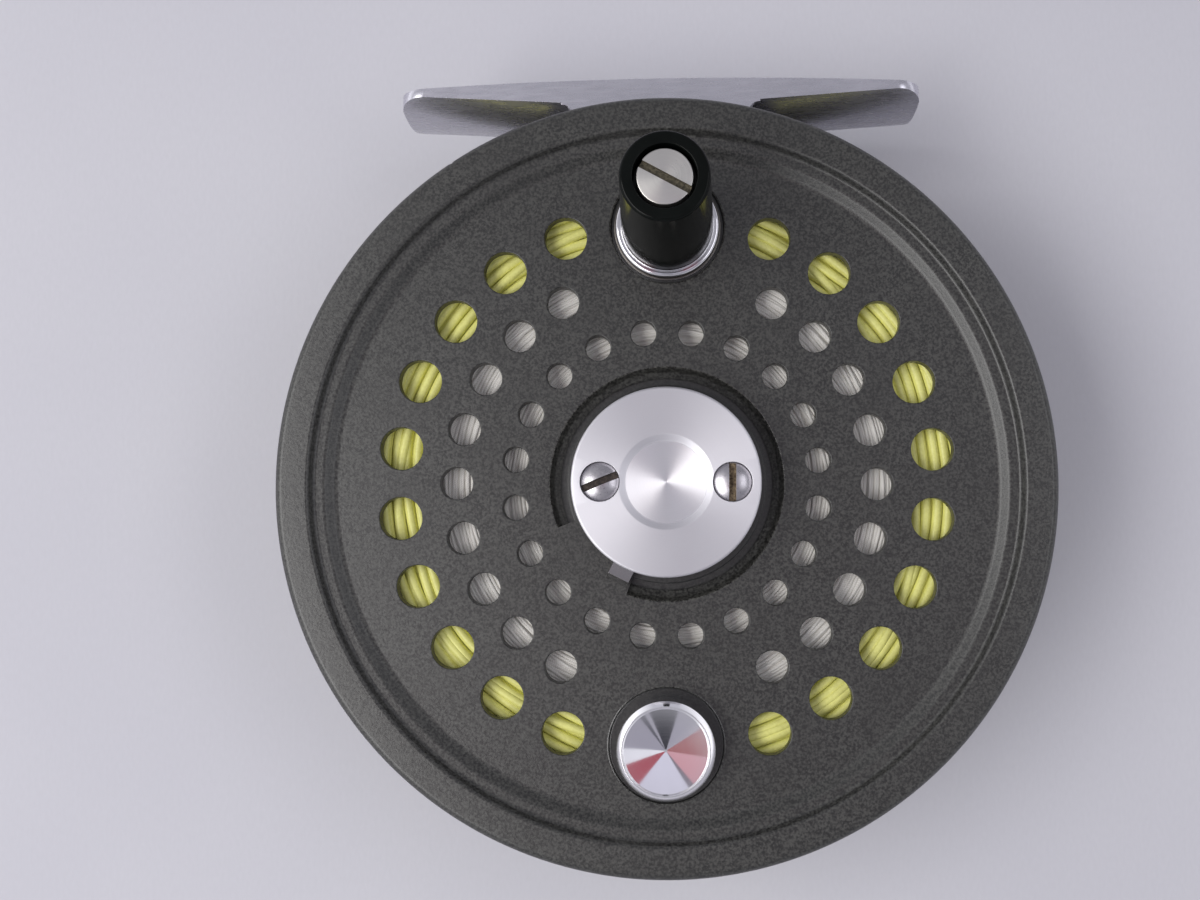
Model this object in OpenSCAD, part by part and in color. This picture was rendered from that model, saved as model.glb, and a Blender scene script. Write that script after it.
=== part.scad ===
// Fly reel with an exposed-rim perforated spool and a click-and-pawl check.
// +Z is the spool axis and points out of the face. +Y points to the reel foot.
// The origin is on the spindle axis, in the plane of the frame's rear rim.

/* [Spool] */
// Outer radius of the exposed rim
rim_r = 45.7; // [45.6:0.1:46]
// Height of the rim's front flat above the perforated face
rim_step = 1.7; // [1.4:0.1:2]
// Thickness of the perforated face
face_t = 1.5; // [1.3:0.1:1.5]
// Radius of the wound fly line
line_r = 37; // [34:0.5:37.4]
// Radius where the backing ends and the fly line begins
backing_r = 27.5; // [26:0.5:29]
// Angle that the spool rests at, clockwise seen from the front
face_turn = 1.1; // [0:0.1:1.5]

/* [Perforations] */
// Radius of the outer ring of holes
outer_ring_r = 31.5; // [31.2:0.1:31.8]
// Diameter of the holes in the outer ring
outer_hole_d = 5; // [4:0.1:5.2]
// Radius of the middle ring of holes
middle_ring_r = 24.7; // [24.3:0.1:25.1]
// Diameter of the holes in the middle ring
middle_hole_d = 3.8; // [3:0.1:4]
// Radius of the inner ring of holes
inner_ring_r = 18; // [17.6:0.1:18.4]
// Diameter of the holes in the inner ring
inner_hole_d = 3; // [2.4:0.1:3.2]

/* [Handle] */
// Distance of the handle and of the counterweight from the spool axis
crank_r = 30.5; // [30.1:0.1:30.9]
// Height of the grip's tip above the perforated face
grip_top = 20; // [18:0.5:22]
// Radius of the grip at its base
grip_base_r = 5.6; // [5.2:0.1:5.6]
// Radius of the grip at its tip
grip_tip_r = 4.7; // [4.5:0.05:5]
// Radius of the counterweight
weight_r = 5.65; // [5.4:0.05:5.9]
// Height of the counterweight above the perforated face
weight_h = 4; // [3:0.1:4.5]
// Radius of the recesses that the handle and the counterweight stand in
recess_r = 6.7; // [6.6:0.05:7]

/* [Hub] */
// Radius of the hub cover
cover_r = 10.8; // [10.6:0.05:11]
// Height of the hub cover's front above the perforated face
cover_top = 5.7; // [5.4:0.1:6]
// Angle of the latch tab, clockwise from the handle
tab_angle = 207; // [206:1:208]

/* [Foot] */
// Half of the foot's length
foot_half = 32.5; // [30:0.5:33]
// Width of the foot along the spool axis
foot_w = 13.5; // [13:0.1:13.6]
// Height of the foot's middle above the spool axis
foot_y = 50.4; // [50.2:0.1:50.8]
// Drop of the foot's tips below its middle
foot_drop = 0.9; // [0.6:0.1:1.1]

/* [Frame] */
// Outer radius of the rear rim
frame_r = 45.2; // [44.6:0.1:45.4]
// Height of the rear rim
frame_rim_h = 6; // [5.5:0.1:6]

/* [Check] */
// Teeth on the ratchet gear, a multiple of 12
teeth = 24; // [24:12:24]
// Travel of the tension slide over the regulator's range
slide_travel = 3.2; // [2.4:0.1:3.2]
// Angle that the regulator turns through
regulator_range = 270; // [240:10:280]

/* [Hidden] */
$fn = 96;

// Radial play of a shaft that turns in its hole
run = 0.04;
// Radial play of a pin or screw fixed in its hole
fit = 0.02;
// Overshoot that makes a cut pass its surface
eps = 0.1;

// Levels along the spool axis
web_z0 = 2.6;
web_z1 = 4.4;
shoulder_z1 = 5.2;
gear_z0 = 5.8;
flange_z0 = 8.6;
flange_z1 = 9.8;
arbor_z1 = 25.4;
face_z = 27.5;
face_z0 = face_z - face_t;
skirt_z0 = 20;
ring_z0 = 18;
ring_z1 = 25.2;
recess_z = 27;
pocket_z = 27.9;
boss_z1 = 30.4;
cover_z1 = face_z + cover_top;
rim_z1 = face_z + rim_step;
grip_z1 = face_z + grip_top;
weight_z1 = face_z + weight_h;

// Spindle and its latch groove
spindle_r = 3;
spindle_tip_r = 2.4;
spindle_groove_r = 1.65;
groove_z0 = 28.25;
groove_z1 = 29.45;
spindle_z1 = 30.25;
spindle_z0 = 0.6;
spindle_step_z = 27.2;
spindle_neck_r = 2.5;
shoulder_r = 5.5;

// Radii of the spool's hub
bush_r = 4.5;
bush_z1 = 26.2;
hub_r = 7;
drum_in_r = 10.8;
drum_r = 12.3;
boss_r = 10.4;
pocket_r = 9.4;
groove_out_r = 13.8;
groove_depth = 0.9;
boss_step_r = 11.65;
boss_step_z = 27.3;
flange_r = 38;
skirt_in_r = 43.4;
hub_clear_r = 3.3;

// Frame ring, pillars and the screws that hold them
rim_in_r = 38.6;
ring_in_r = 38.8;
ring_out_r = 42.9;
pillar_r = 2;
pillar_ring_r = 40.85;
pillar_angles = [18, 162, 234, 306];
bridge_screw_angles = [74, 106];
frame_screw_angles = concat(pillar_angles, bridge_screw_angles);
frame_screw_r = 1;
frame_head_r = 1.8;
frame_head_h = 0.9;
frame_head_z = 1.3;
frame_slot_w = 0.6;
head_play = 0.1;
thread_depth = 5;
thread_gap = 1;

// Foot and its bridge
bridge_half_angle = 20;
bridge_r = 44.6;
pad_half = 9.4;
pad_y = 45.4;
foot_z1 = 22.5;
foot_z0 = foot_z1 - foot_w;
foot_root_x = 10.7;
foot_root_y = 47.5;
foot_tip_t = 0.7;
foot_corner_r = 3.2;
root_fillet_r = 1.6;
belly_r = 17;
saddle_r = 13;
saddle_land = 0.4;
foot_screw_x = 6;
foot_screw_z = 13.5;
foot_screw_r = 1.3;
foot_head_r = 2.4;
foot_head_h = 1.5;
foot_slot_w = 0.8;
foot_screw_y0 = 40;
foot_mid_z = foot_z0 + foot_w / 2;
saddle_y = foot_y + sqrt(pow(saddle_r, 2) - pow(foot_w / 2 - saddle_land, 2));
foot_head_y = saddle_y - saddle_r - eps;

// Ratchet gear and pawls
gear_tip_r = 9.6;
gear_root_r = 8;
tooth_tip_half = 0.25;
gap_root_half = 0.35;
pawl_ring_r = 15.2;
pawl_z0 = 5.25;
pawl_z1 = 7.4;
pawl_nose = 6.7;
pawl_tail = 3.4;
pawl_half = 2.4;
stud_r = 1.2;
stud_z1 = 8;
stud_collar_r = 2;
active_angle = 270;
spare_angle = 200;
gear_boss_r = 4.4;
gear_screw_ring_r = 6.2;
gear_screw_angles = [90, 210, 330];
gear_screw_r = 0.8;
gear_head_r = 1.5;
gear_head_h = 0.7;
gear_thread = 2.4;

// Leaf spring of the check and the block that holds it
leaf_y = -18.9;
leaf_t = 0.35;
leaf_z0 = 5.4;
leaf_z1 = 7.4;
leaf_x0 = -2.4;
leaf_x1 = 24;
block_x0 = 20;
block_x1 = 24.5;
block_half = 2.5;
block_z1 = 7.45;
block_screw_x = 22.2;
block_screw_dy = 1.5;
block_screw_r = 0.7;
block_head_r = 1.2;
block_head_h = 0.6;
block_screw_length = 4;

// Regulator: knob behind the web, spiral cam in front of it, slide above the cam
knob_x = 8.5;
knob_y = -29;
knob_r = 8;
knob_z0 = 0.4;
knob_z1 = 2.35;
knob_flutes = 30;
flute_r = 0.55;
cam_r = 6.2;
cam_z0 = 4.85;
cam_z1 = 6.5;
cam_floor = 5.4;
cam_shaft_r = 1.6;
knob_screw_r = 0.75;
knob_head_r = 1.6;
knob_head_h = 0.8;
knob_socket_z = 1.6;
spiral_r = 5;
spiral_pin_r = 0.75;
spiral_half = 0.85;
slide_z0 = 7.5;
slide_z1 = 8.1;
post_r = 0.7;
post_y = -21.5;
post_xs = [8, 14];
post_head_r = 1.3;

// Perforations of the frame's web
web_ring_r = [33, 25.5];
web_hole_d = [5, 3.8];
web_first = [-2, -1];
web_last = [16, 15];
web_pitch = 15;

// Handle stack
plate_z1 = 28.3;
washer_z1 = 28.6;
grip_z0 = 28.65;
crank_pin_r = 2;
crank_pin_z1 = grip_z1 - 2.5;
crank_bore_r = 1;
crank_bore_depth = 6;
rivet_r = 3;
grip_liner_r = 2.6;
grip_screw_r = 2.93;
grip_sink_r = 3.35;
grip_sink_z = crank_pin_z1 + 0.1;
grip_screw_z1 = grip_z1 - 0.35;
grip_slot_angle = -28;

// Latch under the hub cover
latch_z0 = 28.3;
latch_z1 = 29.4;
latch_hole_r = 2.7;
latch_ring_r = 4.1;
latch_throw = 7.07;
latch_pivot = [5.3, 5.6];
latch_pin_r = 0.78;
latch_pin_z0 = 26;
latch_arm_w = 2.6;
latch_tab_r = 12.9;
latch_rest = turned([0, 0], latch_pivot, latch_throw);
link_angle = atan2(latch_rest.y - latch_pivot.y, latch_rest.x - latch_pivot.x);
cover_screw_x = 7.5;
cover_screw_r = 0.92;
cover_screw_z0 = arbor_z1 + 0.2;
cover_head_r = 2.15;
cover_sink_r = 2.25;
cover_sink_z = 32;
cover_slot_w = 0.8;
cover_slot_angles = [22.6, 90];
dimple_r = 5.5;
dimple_floor_r = 4.5;
dimple_depth = 0.6;
dimple_cone = 0.3;
land_from = 200;
land_to = 248;
window_from = 197;
window_to = 232;

// Point at radius r and angle a, anticlockwise from +X
function polar(r, a) = [r * cos(a), r * sin(a)];

// Angle anticlockwise from +X of an angle given clockwise from the handle
function from_top(a) = 90 - a;

// Point p turned by angle a about point c
function turned(p, c, a) = [
    c.x + (p.x - c.x) * cos(a) - (p.y - c.y) * sin(a),
    c.y + (p.x - c.x) * sin(a) + (p.y - c.y) * cos(a)
];

// Children turned with the spool to its rest angle
module on_face() {
    rotate(-face_turn)
        children();
}

// Tube between two radii and two levels
module tube(r_in, r_out, z0, z1) {
    difference() {
        translate([0, 0, z0]) cylinder(r = r_out, h = z1 - z0);
        translate([0, 0, z0 - eps]) cylinder(r = r_in, h = z1 - z0 + 2 * eps);
    }
}

// Plain cylinder between two levels
module rod(r, z0, z1) {
    translate([0, 0, z0]) cylinder(r = r, h = z1 - z0);
}

// Countersunk screw whose head is at z = 0 and whose shank runs along +Z
module sunk_screw(shank_r, head_r, head_h, length, slot_w, slot_angle) {
    difference() {
        union() {
            cylinder(r1 = head_r, r2 = shank_r, h = head_h);
            cylinder(r = shank_r, h = length);
        }
        rotate(slot_angle)
            translate([-head_r - eps, -slot_w / 2, -eps])
                cube([2 * (head_r + eps), slot_w, head_h * 0.55 + eps]);
    }
}

// Hole that a countersunk screw of the same sizes sits in
module sunk_hole(shank_r, head_r, head_h, length) {
    translate([0, 0, -eps]) cylinder(r = shank_r + fit, h = length + 2 * eps);
    cylinder(r1 = head_r + 2 * fit, r2 = shank_r + 2 * fit, h = head_h);
}

// Wedge between two angles clockwise from the handle, wide enough to cut a ring of radius r
module sector(from, to, r, z0, z1) {
    reach = 1.5 * r;
    middle = (from + to) / 2;
    translate([0, 0, z0])
        linear_extrude(z1 - z0)
            polygon([
                [0, 0],
                polar(reach, from_top(from)),
                polar(reach, from_top(middle)),
                polar(reach, from_top(to))
            ]);
}

// One child at each of the given angles on a ring
module on_ring(r, angles) {
    for (a = angles)
        translate(concat(polar(r, a), 0))
            rotate(a)
                children();
}

// Quarter-circle cut for the outer corner at [r, z] of a turned profile
module corner_cut(r, z, radius) {
    difference() {
        translate([r - radius, z - radius]) square(radius + eps);
        translate([r - radius, z - radius]) circle(radius);
    }
}

// Countersunk rivet end with its flat side at level z
module rivet_end(z, grow) {
    translate([0, 0, z])
        cylinder(r1 = rivet_r + grow, r2 = crank_pin_r + grow, h = face_t / 2);
}

// Round screw head with a straight side up to z = 0 and a dome above it
module domed_head(r, side_h, dome_h) {
    sphere_r = (r * r + dome_h * dome_h) / (2 * dome_h);
    intersection() {
        rod(r, -side_h, dome_h + eps);
        translate([0, 0, dome_h - sphere_r])
            rotate([90, 0, 0])
                sphere(sphere_r, $fn = 180);
    }
}

// Rear half of the frame: a deep rim round a thin web that carries the spindle
module back_plate() {
    chamfer = 0.6;
    inner_chamfer = 0.25;
    color([0.26, 0.26, 0.25])
        difference() {
            rotate_extrude()
                difference() {
                    polygon([
                        [0, web_z0],
                        [rim_in_r, web_z0],
                        [rim_in_r, inner_chamfer],
                        [rim_in_r + inner_chamfer, 0],
                        [frame_r - chamfer, 0],
                        [frame_r, chamfer],
                        [frame_r, frame_rim_h],
                        [rim_in_r, frame_rim_h],
                        [rim_in_r, web_z1],
                        [0, web_z1]
                    ]);
                    corner_cut(frame_r, frame_rim_h, 1);
                }
            rod(spindle_neck_r + fit, web_z0 - eps, web_z1 + eps);
            on_ring(pillar_ring_r, frame_screw_angles) {
                rod(frame_head_r + head_play, -eps, frame_head_z);
                translate([0, 0, frame_head_z])
                    sunk_hole(frame_screw_r, frame_head_r, frame_head_h, frame_rim_h);
            }
            for (a = [active_angle, spare_angle])
                translate(concat(polar(pawl_ring_r, a), 0))
                    rod(stud_r + fit, web_z0 - eps, web_z1 + eps);
            translate([knob_x, knob_y, 0])
                rod(cam_shaft_r + run, web_z0 - eps, web_z1 + eps);
            for (x = post_xs)
                translate([x, post_y, 0])
                    rod(post_r + fit, web_z0 - eps, web_z1 + eps);
            for (side = [-1, 1])
                translate([block_screw_x, leaf_y + side * block_screw_dy, web_z0])
                    sunk_hole(block_screw_r, block_head_r, block_head_h, web_z1 - web_z0);
            for (row = [0, 1])
                for (i = [web_first[row] : web_last[row]])
                    translate(concat(polar(web_ring_r[row], (i + 0.5) * web_pitch), 0))
                        rod(web_hole_d[row] / 2, web_z0 - eps, web_z1 + eps);
        }
}

// Front ring of the cage, which the spool's skirt covers
module front_ring() {
    color([0.26, 0.26, 0.25])
        difference() {
            tube(ring_in_r, ring_out_r, ring_z0, ring_z1);
            on_ring(pillar_ring_r, frame_screw_angles)
                translate([0, 0, ring_z1])
                    mirror([0, 0, 1])
                        sunk_hole(frame_screw_r, frame_head_r, frame_head_h, ring_z1 - ring_z0);
        }
}

// Pillars that hold the front ring to the back plate
module pillars() {
    collar_r = 2.2;
    collar_h = 0.8;
    color([0.26, 0.26, 0.25])
        on_ring(pillar_ring_r, pillar_angles)
            difference() {
                union() {
                    rod(pillar_r, frame_rim_h, ring_z0);
                    rod(collar_r, frame_rim_h, frame_rim_h + collar_h);
                    rod(collar_r, ring_z0 - collar_h, ring_z0);
                }
                rod(frame_screw_r + fit, frame_rim_h - eps, frame_rim_h + thread_depth);
                rod(frame_screw_r + fit, ring_z0 - thread_depth, ring_z0 + eps);
            }
}

// Wide pillar under the foot, with a flat pad for the foot's block
module foot_bridge() {
    color([0.26, 0.26, 0.25])
        difference() {
            union() {
                intersection() {
                    tube(ring_in_r, bridge_r, frame_rim_h, ring_z0);
                    sector(-bridge_half_angle, bridge_half_angle, bridge_r, frame_rim_h, ring_z0);
                }
                translate([-pad_half, bridge_r - 3, foot_z0])
                    cube([2 * pad_half, pad_y - bridge_r + 3, ring_z0 - foot_z0]);
            }
            rod(ring_in_r, frame_rim_h - eps, ring_z0 + eps);
            on_ring(pillar_ring_r, bridge_screw_angles) {
                rod(frame_screw_r + fit, frame_rim_h - eps, frame_rim_h + thread_depth);
                rod(frame_screw_r + fit, ring_z0 - thread_depth, ring_z0 + eps);
            }
            for (x = [-foot_screw_x, foot_screw_x])
                translate([x, foot_screw_y0 - eps, foot_screw_z])
                    rotate([-90, 0, 0])
                        cylinder(r = foot_screw_r + fit, h = foot_y - foot_screw_y0);
        }
}

// Screws through the rear rim into the pillars and the bridge
module rear_frame_screws() {
    length = frame_rim_h - frame_head_z + thread_depth - thread_gap;
    color([0.75, 0.75, 0.74])
        on_ring(pillar_ring_r, frame_screw_angles)
            translate([0, 0, frame_head_z])
                sunk_screw(frame_screw_r, frame_head_r, frame_head_h, length, frame_slot_w, 40);
}

// Screws through the front ring into the pillars and the bridge
module front_frame_screws() {
    length = ring_z1 - ring_z0 + thread_depth - thread_gap;
    color([0.75, 0.75, 0.74])
        on_ring(pillar_ring_r, frame_screw_angles)
            translate([0, 0, ring_z1])
                mirror([0, 0, 1])
                    sunk_screw(frame_screw_r, frame_head_r, frame_head_h, length, frame_slot_w, 65);
}

// Area under the foot's crowned top, between two distances from the middle
module foot_outline(x0, x1) {
    top_r = (foot_half * foot_half + foot_drop * foot_drop) / (2 * foot_drop);
    intersection() {
        translate([x0, pad_y]) square([x1 - x0, foot_y - pad_y]);
        translate([0, foot_y - top_r]) circle(top_r, $fn = 720);
    }
}

// Foot's outline between two distances from the middle, as thick as the foot is wide
module foot_slab(x0, x1) {
    translate([0, 0, foot_z0])
        linear_extrude(foot_w)
            foot_outline(x0, x1);
}

// Cylinder whose lower side is the rounded underside of the toe on the +X side
module toe_belly() {
    sag = belly_r - sqrt(pow(belly_r, 2) - pow(foot_w / 2, 2));
    tip_y = foot_y - foot_drop - foot_tip_t;
    slope = atan2(tip_y - foot_root_y, foot_half - foot_root_x);
    translate([foot_root_x, foot_root_y - sag, foot_mid_z])
        rotate(slope)
            translate([-foot_root_x, belly_r, 0])
                rotate([0, 90, 0])
                    cylinder(r = belly_r, h = 2 * foot_half, $fn = 180);
}

// Thin toe on the +X side, with rounded corners
module toe() {
    intersection() {
        foot_slab(foot_root_x - 1, foot_half);
        translate([0, pad_y - eps, foot_z0])
            rotate([-90, 0, 0])
                linear_extrude(foot_y - pad_y + 1)
                    foot_plan();
        toe_belly();
    }
}

// Rounded inner corner between the root and the toe on the +X side
module root_fillet() {
    overlap = 0.3;
    translate([foot_root_x - eps, foot_root_y - root_fillet_r, foot_z0])
        linear_extrude(foot_w)
            difference() {
                square([root_fillet_r + eps, root_fillet_r + overlap]);
                translate([root_fillet_r + eps, -overlap / 2]) circle(root_fillet_r);
            }
}

// Reel foot: the part that the rod's reel seat clamps
module foot() {
    saddle_half = 40;
    block_z1 = ring_z0 + 1.5;
    rim_gap = 0.4;
    color([0.78, 0.78, 0.8])
        difference() {
            union() {
                foot_slab(-foot_root_x, foot_root_x);
                for (side = [0, 1])
                    mirror([side, 0, 0]) {
                        toe();
                        root_fillet();
                    }
            }
            rod(rim_r + rim_gap, block_z1, foot_z1 + eps);
            translate([-saddle_half, saddle_y, foot_mid_z])
                rotate([0, 90, 0])
                    cylinder(r = saddle_r, h = 2 * saddle_half, $fn = 180);
            for (x = [-foot_screw_x, foot_screw_x])
                translate([x, foot_head_y, foot_screw_z])
                    rotate([90, 0, 0]) {
                        sunk_hole(foot_screw_r, foot_head_r, foot_head_h, foot_head_y - pad_y);
                        rod(foot_head_r + head_play, -1, 0);
                    }
        }
}

// Plan of the foot with rounded corners, drawn with the rear edge on the x axis
module foot_plan() {
    difference() {
        translate([-foot_half, -foot_w]) square([2 * foot_half, foot_w]);
        for (sx = [0, 1])
            for (sy = [0, 1])
                translate([0, -foot_w / 2])
                    mirror([sx, 0])
                        mirror([0, sy])
                            corner_cut(foot_half, foot_w / 2, foot_corner_r);
    }
}

// Screws that hold the foot to the bridge
module foot_screws() {
    color([0.75, 0.75, 0.74])
        for (x = [-foot_screw_x, foot_screw_x])
            translate([x, foot_head_y, foot_screw_z])
                rotate([90, 0, 0])
                    sunk_screw(foot_screw_r, foot_head_r, foot_head_h,
                               foot_head_y - foot_screw_y0 - thread_gap, foot_slot_w, 20);
}

// Fixed spindle with its thrust shoulder and the groove that the latch bites into
module spindle() {
    cone_h = 0.4;
    color([0.7, 0.7, 0.68])
        rotate_extrude()
            polygon([
                [0, spindle_z0],
                [spindle_neck_r, spindle_z0],
                [spindle_neck_r, web_z1],
                [shoulder_r, web_z1],
                [shoulder_r, shoulder_z1],
                [spindle_r, shoulder_z1],
                [spindle_r, spindle_step_z],
                [spindle_tip_r, spindle_step_z + cone_h],
                [spindle_tip_r, groove_z0],
                [spindle_groove_r, groove_z0],
                [spindle_groove_r, groove_z1],
                [spindle_tip_r, groove_z1],
                [spindle_tip_r, spindle_z1 - cone_h],
                [spindle_tip_r - cone_h, spindle_z1],
                [0, spindle_z1]
            ]);
}

// Washer under the spindle nut
module spindle_washer() {
    washer_t = 0.3;
    washer_r = 5;
    color([0.7, 0.7, 0.68])
        tube(spindle_neck_r + fit, washer_r, web_z0 - washer_t, web_z0);
}

// Nut that holds the spindle in the web
module spindle_nut() {
    nut_r = 4.2;
    nut_z0 = 0.5;
    nut_h = 1.8;
    color([0.75, 0.75, 0.74])
        difference() {
            translate([0, 0, nut_z0]) cylinder(r = nut_r, h = nut_h, $fn = 6);
            rod(spindle_neck_r + fit, nut_z0 - eps, web_z0);
        }
}

// Studs that the two pawls turn on
module pawl_studs() {
    color([0.7, 0.7, 0.68])
        for (a = [active_angle, spare_angle])
            translate(concat(polar(pawl_ring_r, a), 0)) {
                rod(stud_r, web_z0, stud_z1);
                rod(stud_collar_r, web_z1, pawl_z0 - 0.05);
            }
}

// Open clips that keep the pawls on their studs
module pawl_clips() {
    clip_r = 2.3;
    mouth = 1.6;
    color([0.5, 0.5, 0.5])
        for (a = [active_angle, spare_angle])
            translate(concat(polar(pawl_ring_r, a), 0))
                difference() {
                    tube(stud_r + fit, clip_r, pawl_z1 + 0.05, pawl_z1 + 0.35);
                    translate([0, -mouth / 2, pawl_z1 - eps])
                        cube([clip_r + eps, mouth, 1]);
                }
}

// Leaf spring that presses the active pawl into the gear
module check_spring() {
    color([0.6, 0.62, 0.66])
        translate([leaf_x0, leaf_y - leaf_t / 2, leaf_z0])
            cube([leaf_x1 - leaf_x0, leaf_t, leaf_z1 - leaf_z0]);
}

// Slotted block that clamps the end of the leaf spring
module spring_block() {
    slot = leaf_t + 2 * fit;
    color([0.8, 0.65, 0.35])
        difference() {
            translate([block_x0, leaf_y - block_half, web_z1])
                cube([block_x1 - block_x0, 2 * block_half, block_z1 - web_z1]);
            translate([block_x0 - eps, leaf_y - slot / 2, leaf_z0 - fit])
                cube([leaf_x1 - block_x0 + 2 * eps, slot, leaf_z1 - leaf_z0 + 1]);
            for (side = [-1, 1])
                translate([block_screw_x, leaf_y + side * block_screw_dy, 0])
                    rod(block_screw_r + fit, web_z1 - eps, web_z0 + block_screw_length + 0.2);
        }
}

// Screws that hold the spring block to the web
module spring_block_screws() {
    slot_w = 0.4;
    color([0.75, 0.75, 0.74])
        for (side = [-1, 1])
            translate([block_screw_x, leaf_y + side * block_screw_dy, web_z0])
                sunk_screw(block_screw_r, block_head_r, block_head_h,
                           block_screw_length, slot_w, 30 + 40 * side);
}

// Headed posts that guide the tension slide
module slide_posts() {
    color([0.7, 0.7, 0.68])
        for (x = post_xs)
            translate([x, post_y, 0]) {
                rod(post_r, web_z0, slide_z1 + 0.1);
                rod(post_head_r, slide_z1 + 0.05, slide_z1 + 0.3);
            }
}

// Thin spring washer between the knob and the web
module click_washer() {
    hole_r = cam_shaft_r + 0.4;
    washer_r = 5;
    color([0.8, 0.65, 0.35])
        translate([knob_x, knob_y, 0])
            tube(hole_r, washer_r, knob_z1 + fit, web_z0 - fit);
}

// Fluted knob at the back that sets the strength of the check
module regulator_knob() {
    chamfer = 0.4;
    color([0.75, 0.75, 0.76])
        translate([knob_x, knob_y, 0])
            difference() {
                rotate_extrude()
                    polygon([
                        [0, knob_z0],
                        [knob_r - chamfer, knob_z0],
                        [knob_r, knob_z0 + chamfer],
                        [knob_r, knob_z1],
                        [0, knob_z1]
                    ]);
                on_ring(knob_r + flute_r * 0.3, [for (i = [0 : knob_flutes - 1]) i * 360 / knob_flutes])
                    translate([0, 0, knob_z0 - eps])
                        cylinder(r = flute_r, h = knob_z1 - knob_z0 + 2 * eps, $fn = 24);
                translate([0, 0, knob_z0])
                    sunk_hole(knob_screw_r, knob_head_r, knob_head_h, knob_socket_z - knob_z0);
                rod(cam_shaft_r + fit, knob_socket_z, knob_z1 + eps);
            }
}

// Radius of the cam's spiral after a turn of angle a
function spiral_at(a) = spiral_r - slide_travel * a / regulator_range;

// Cam with a spiral groove, on the shaft that the knob turns
module regulator_cam() {
    steps = 60;
    outer_margin = 11;
    inner_margin = 30;
    turn = regulator_range + outer_margin + inner_margin;
    outward = [for (i = [0 : steps]) i * turn / steps - outer_margin];
    inward = [for (i = [steps : -1 : 0]) outward[i]];
    color([0.8, 0.65, 0.35])
        translate([knob_x, knob_y, 0])
            difference() {
                union() {
                    rod(cam_r, cam_z0, cam_z1);
                    rod(cam_shaft_r, knob_socket_z + 0.05, cam_z0 + eps);
                }
                translate([0, 0, cam_floor])
                    linear_extrude(cam_z1 - cam_floor + eps)
                        polygon(concat(
                            [for (a = outward) polar(spiral_at(a) + spiral_half, -a)],
                            [for (a = inward) polar(spiral_at(a) - spiral_half, -a)]
                        ));
                rod(knob_screw_r + fit, knob_socket_z, cam_z0 - 0.25);
            }
}

// Screw that fixes the knob to the cam's shaft
module regulator_screw() {
    length = 3.8;
    slot_w = 0.5;
    color([0.75, 0.75, 0.74])
        translate([knob_x, knob_y, knob_z0])
            sunk_screw(knob_screw_r, knob_head_r, knob_head_h, length, slot_w, 15);
}

// Slide that the cam moves: its fingers are the leaf spring's fulcrum
module tension_slide() {
    pin_x = knob_x + spiral_r;
    bar_y0 = post_y - 1.5;
    bar_y1 = post_y + 1.5;
    slot_x0 = post_xs[0] - post_r - run;
    slot_x1 = post_xs[1] + post_r + run + slide_travel;
    stem_half = 1.6;
    finger_gap = leaf_t / 2 + 0.05;
    finger_t = 0.8;
    color([0.7, 0.7, 0.72]) {
        difference() {
            union() {
                translate([slot_x0 - 1.2, bar_y0, slide_z0])
                    cube([slot_x1 - slot_x0 + 2.4, bar_y1 - bar_y0, slide_z1 - slide_z0]);
                translate([pin_x - stem_half, knob_y - 1.2, slide_z0])
                    cube([2 * stem_half, bar_y0 - knob_y + 1.3, slide_z1 - slide_z0]);
                translate([pin_x - 1, bar_y1 - 0.1, slide_z0])
                    cube([2, leaf_y + 1.4 - bar_y1, slide_z1 - slide_z0]);
            }
            translate([slot_x0, post_y - post_r - run, slide_z0 - eps])
                cube([slot_x1 - slot_x0, 2 * (post_r + run), slide_z1 - slide_z0 + 2 * eps]);
        }
        translate([pin_x, knob_y, 0])
            rod(spiral_pin_r, cam_floor + 0.1, slide_z0 + 0.1);
        for (side = [0, 1])
            translate([pin_x - 1, leaf_y, leaf_z0 + 0.3])
                mirror([0, side, 0])
                    translate([0, finger_gap, 0])
                        cube([2, finger_t, slide_z0 - leaf_z0 - 0.2]);
    }
}

// Pawl drawn with its pivot at the origin and its nose towards +Y
module pawl() {
    shoulder_half = 0.55;
    shoulder = pawl_nose - 1.1;
    difference() {
        translate([0, 0, pawl_z0])
            linear_extrude(pawl_z1 - pawl_z0)
                polygon([
                    [-0.2, pawl_nose],
                    [-shoulder_half, shoulder],
                    [-pawl_half, -1],
                    [-pawl_half, -pawl_tail],
                    [pawl_half, -pawl_tail],
                    [pawl_half, -1],
                    [shoulder_half, shoulder],
                    [0.2, pawl_nose]
                ]);
        rod(stud_r + run, pawl_z0 - eps, pawl_z1 + eps);
    }
}

// Pawl in use: its nose stands in a gap of the gear
module active_pawl() {
    color([0.62, 0.62, 0.65])
        translate(concat(polar(pawl_ring_r, active_angle), 0))
            rotate(active_angle + 90)
                pawl();
}

// Second pawl, for cranking with the other hand, parked away from the gear
module spare_pawl() {
    color([0.62, 0.62, 0.65])
        translate(concat(polar(pawl_ring_r, spare_angle), 0))
            rotate(spare_angle - 90)
                pawl();
}

// Floating bush between the spindle and the arbor
module spool_bush() {
    color([0.8, 0.62, 0.3])
        tube(spindle_r + run, bush_r, flange_z0 + 0.15, bush_z1);
}

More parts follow.
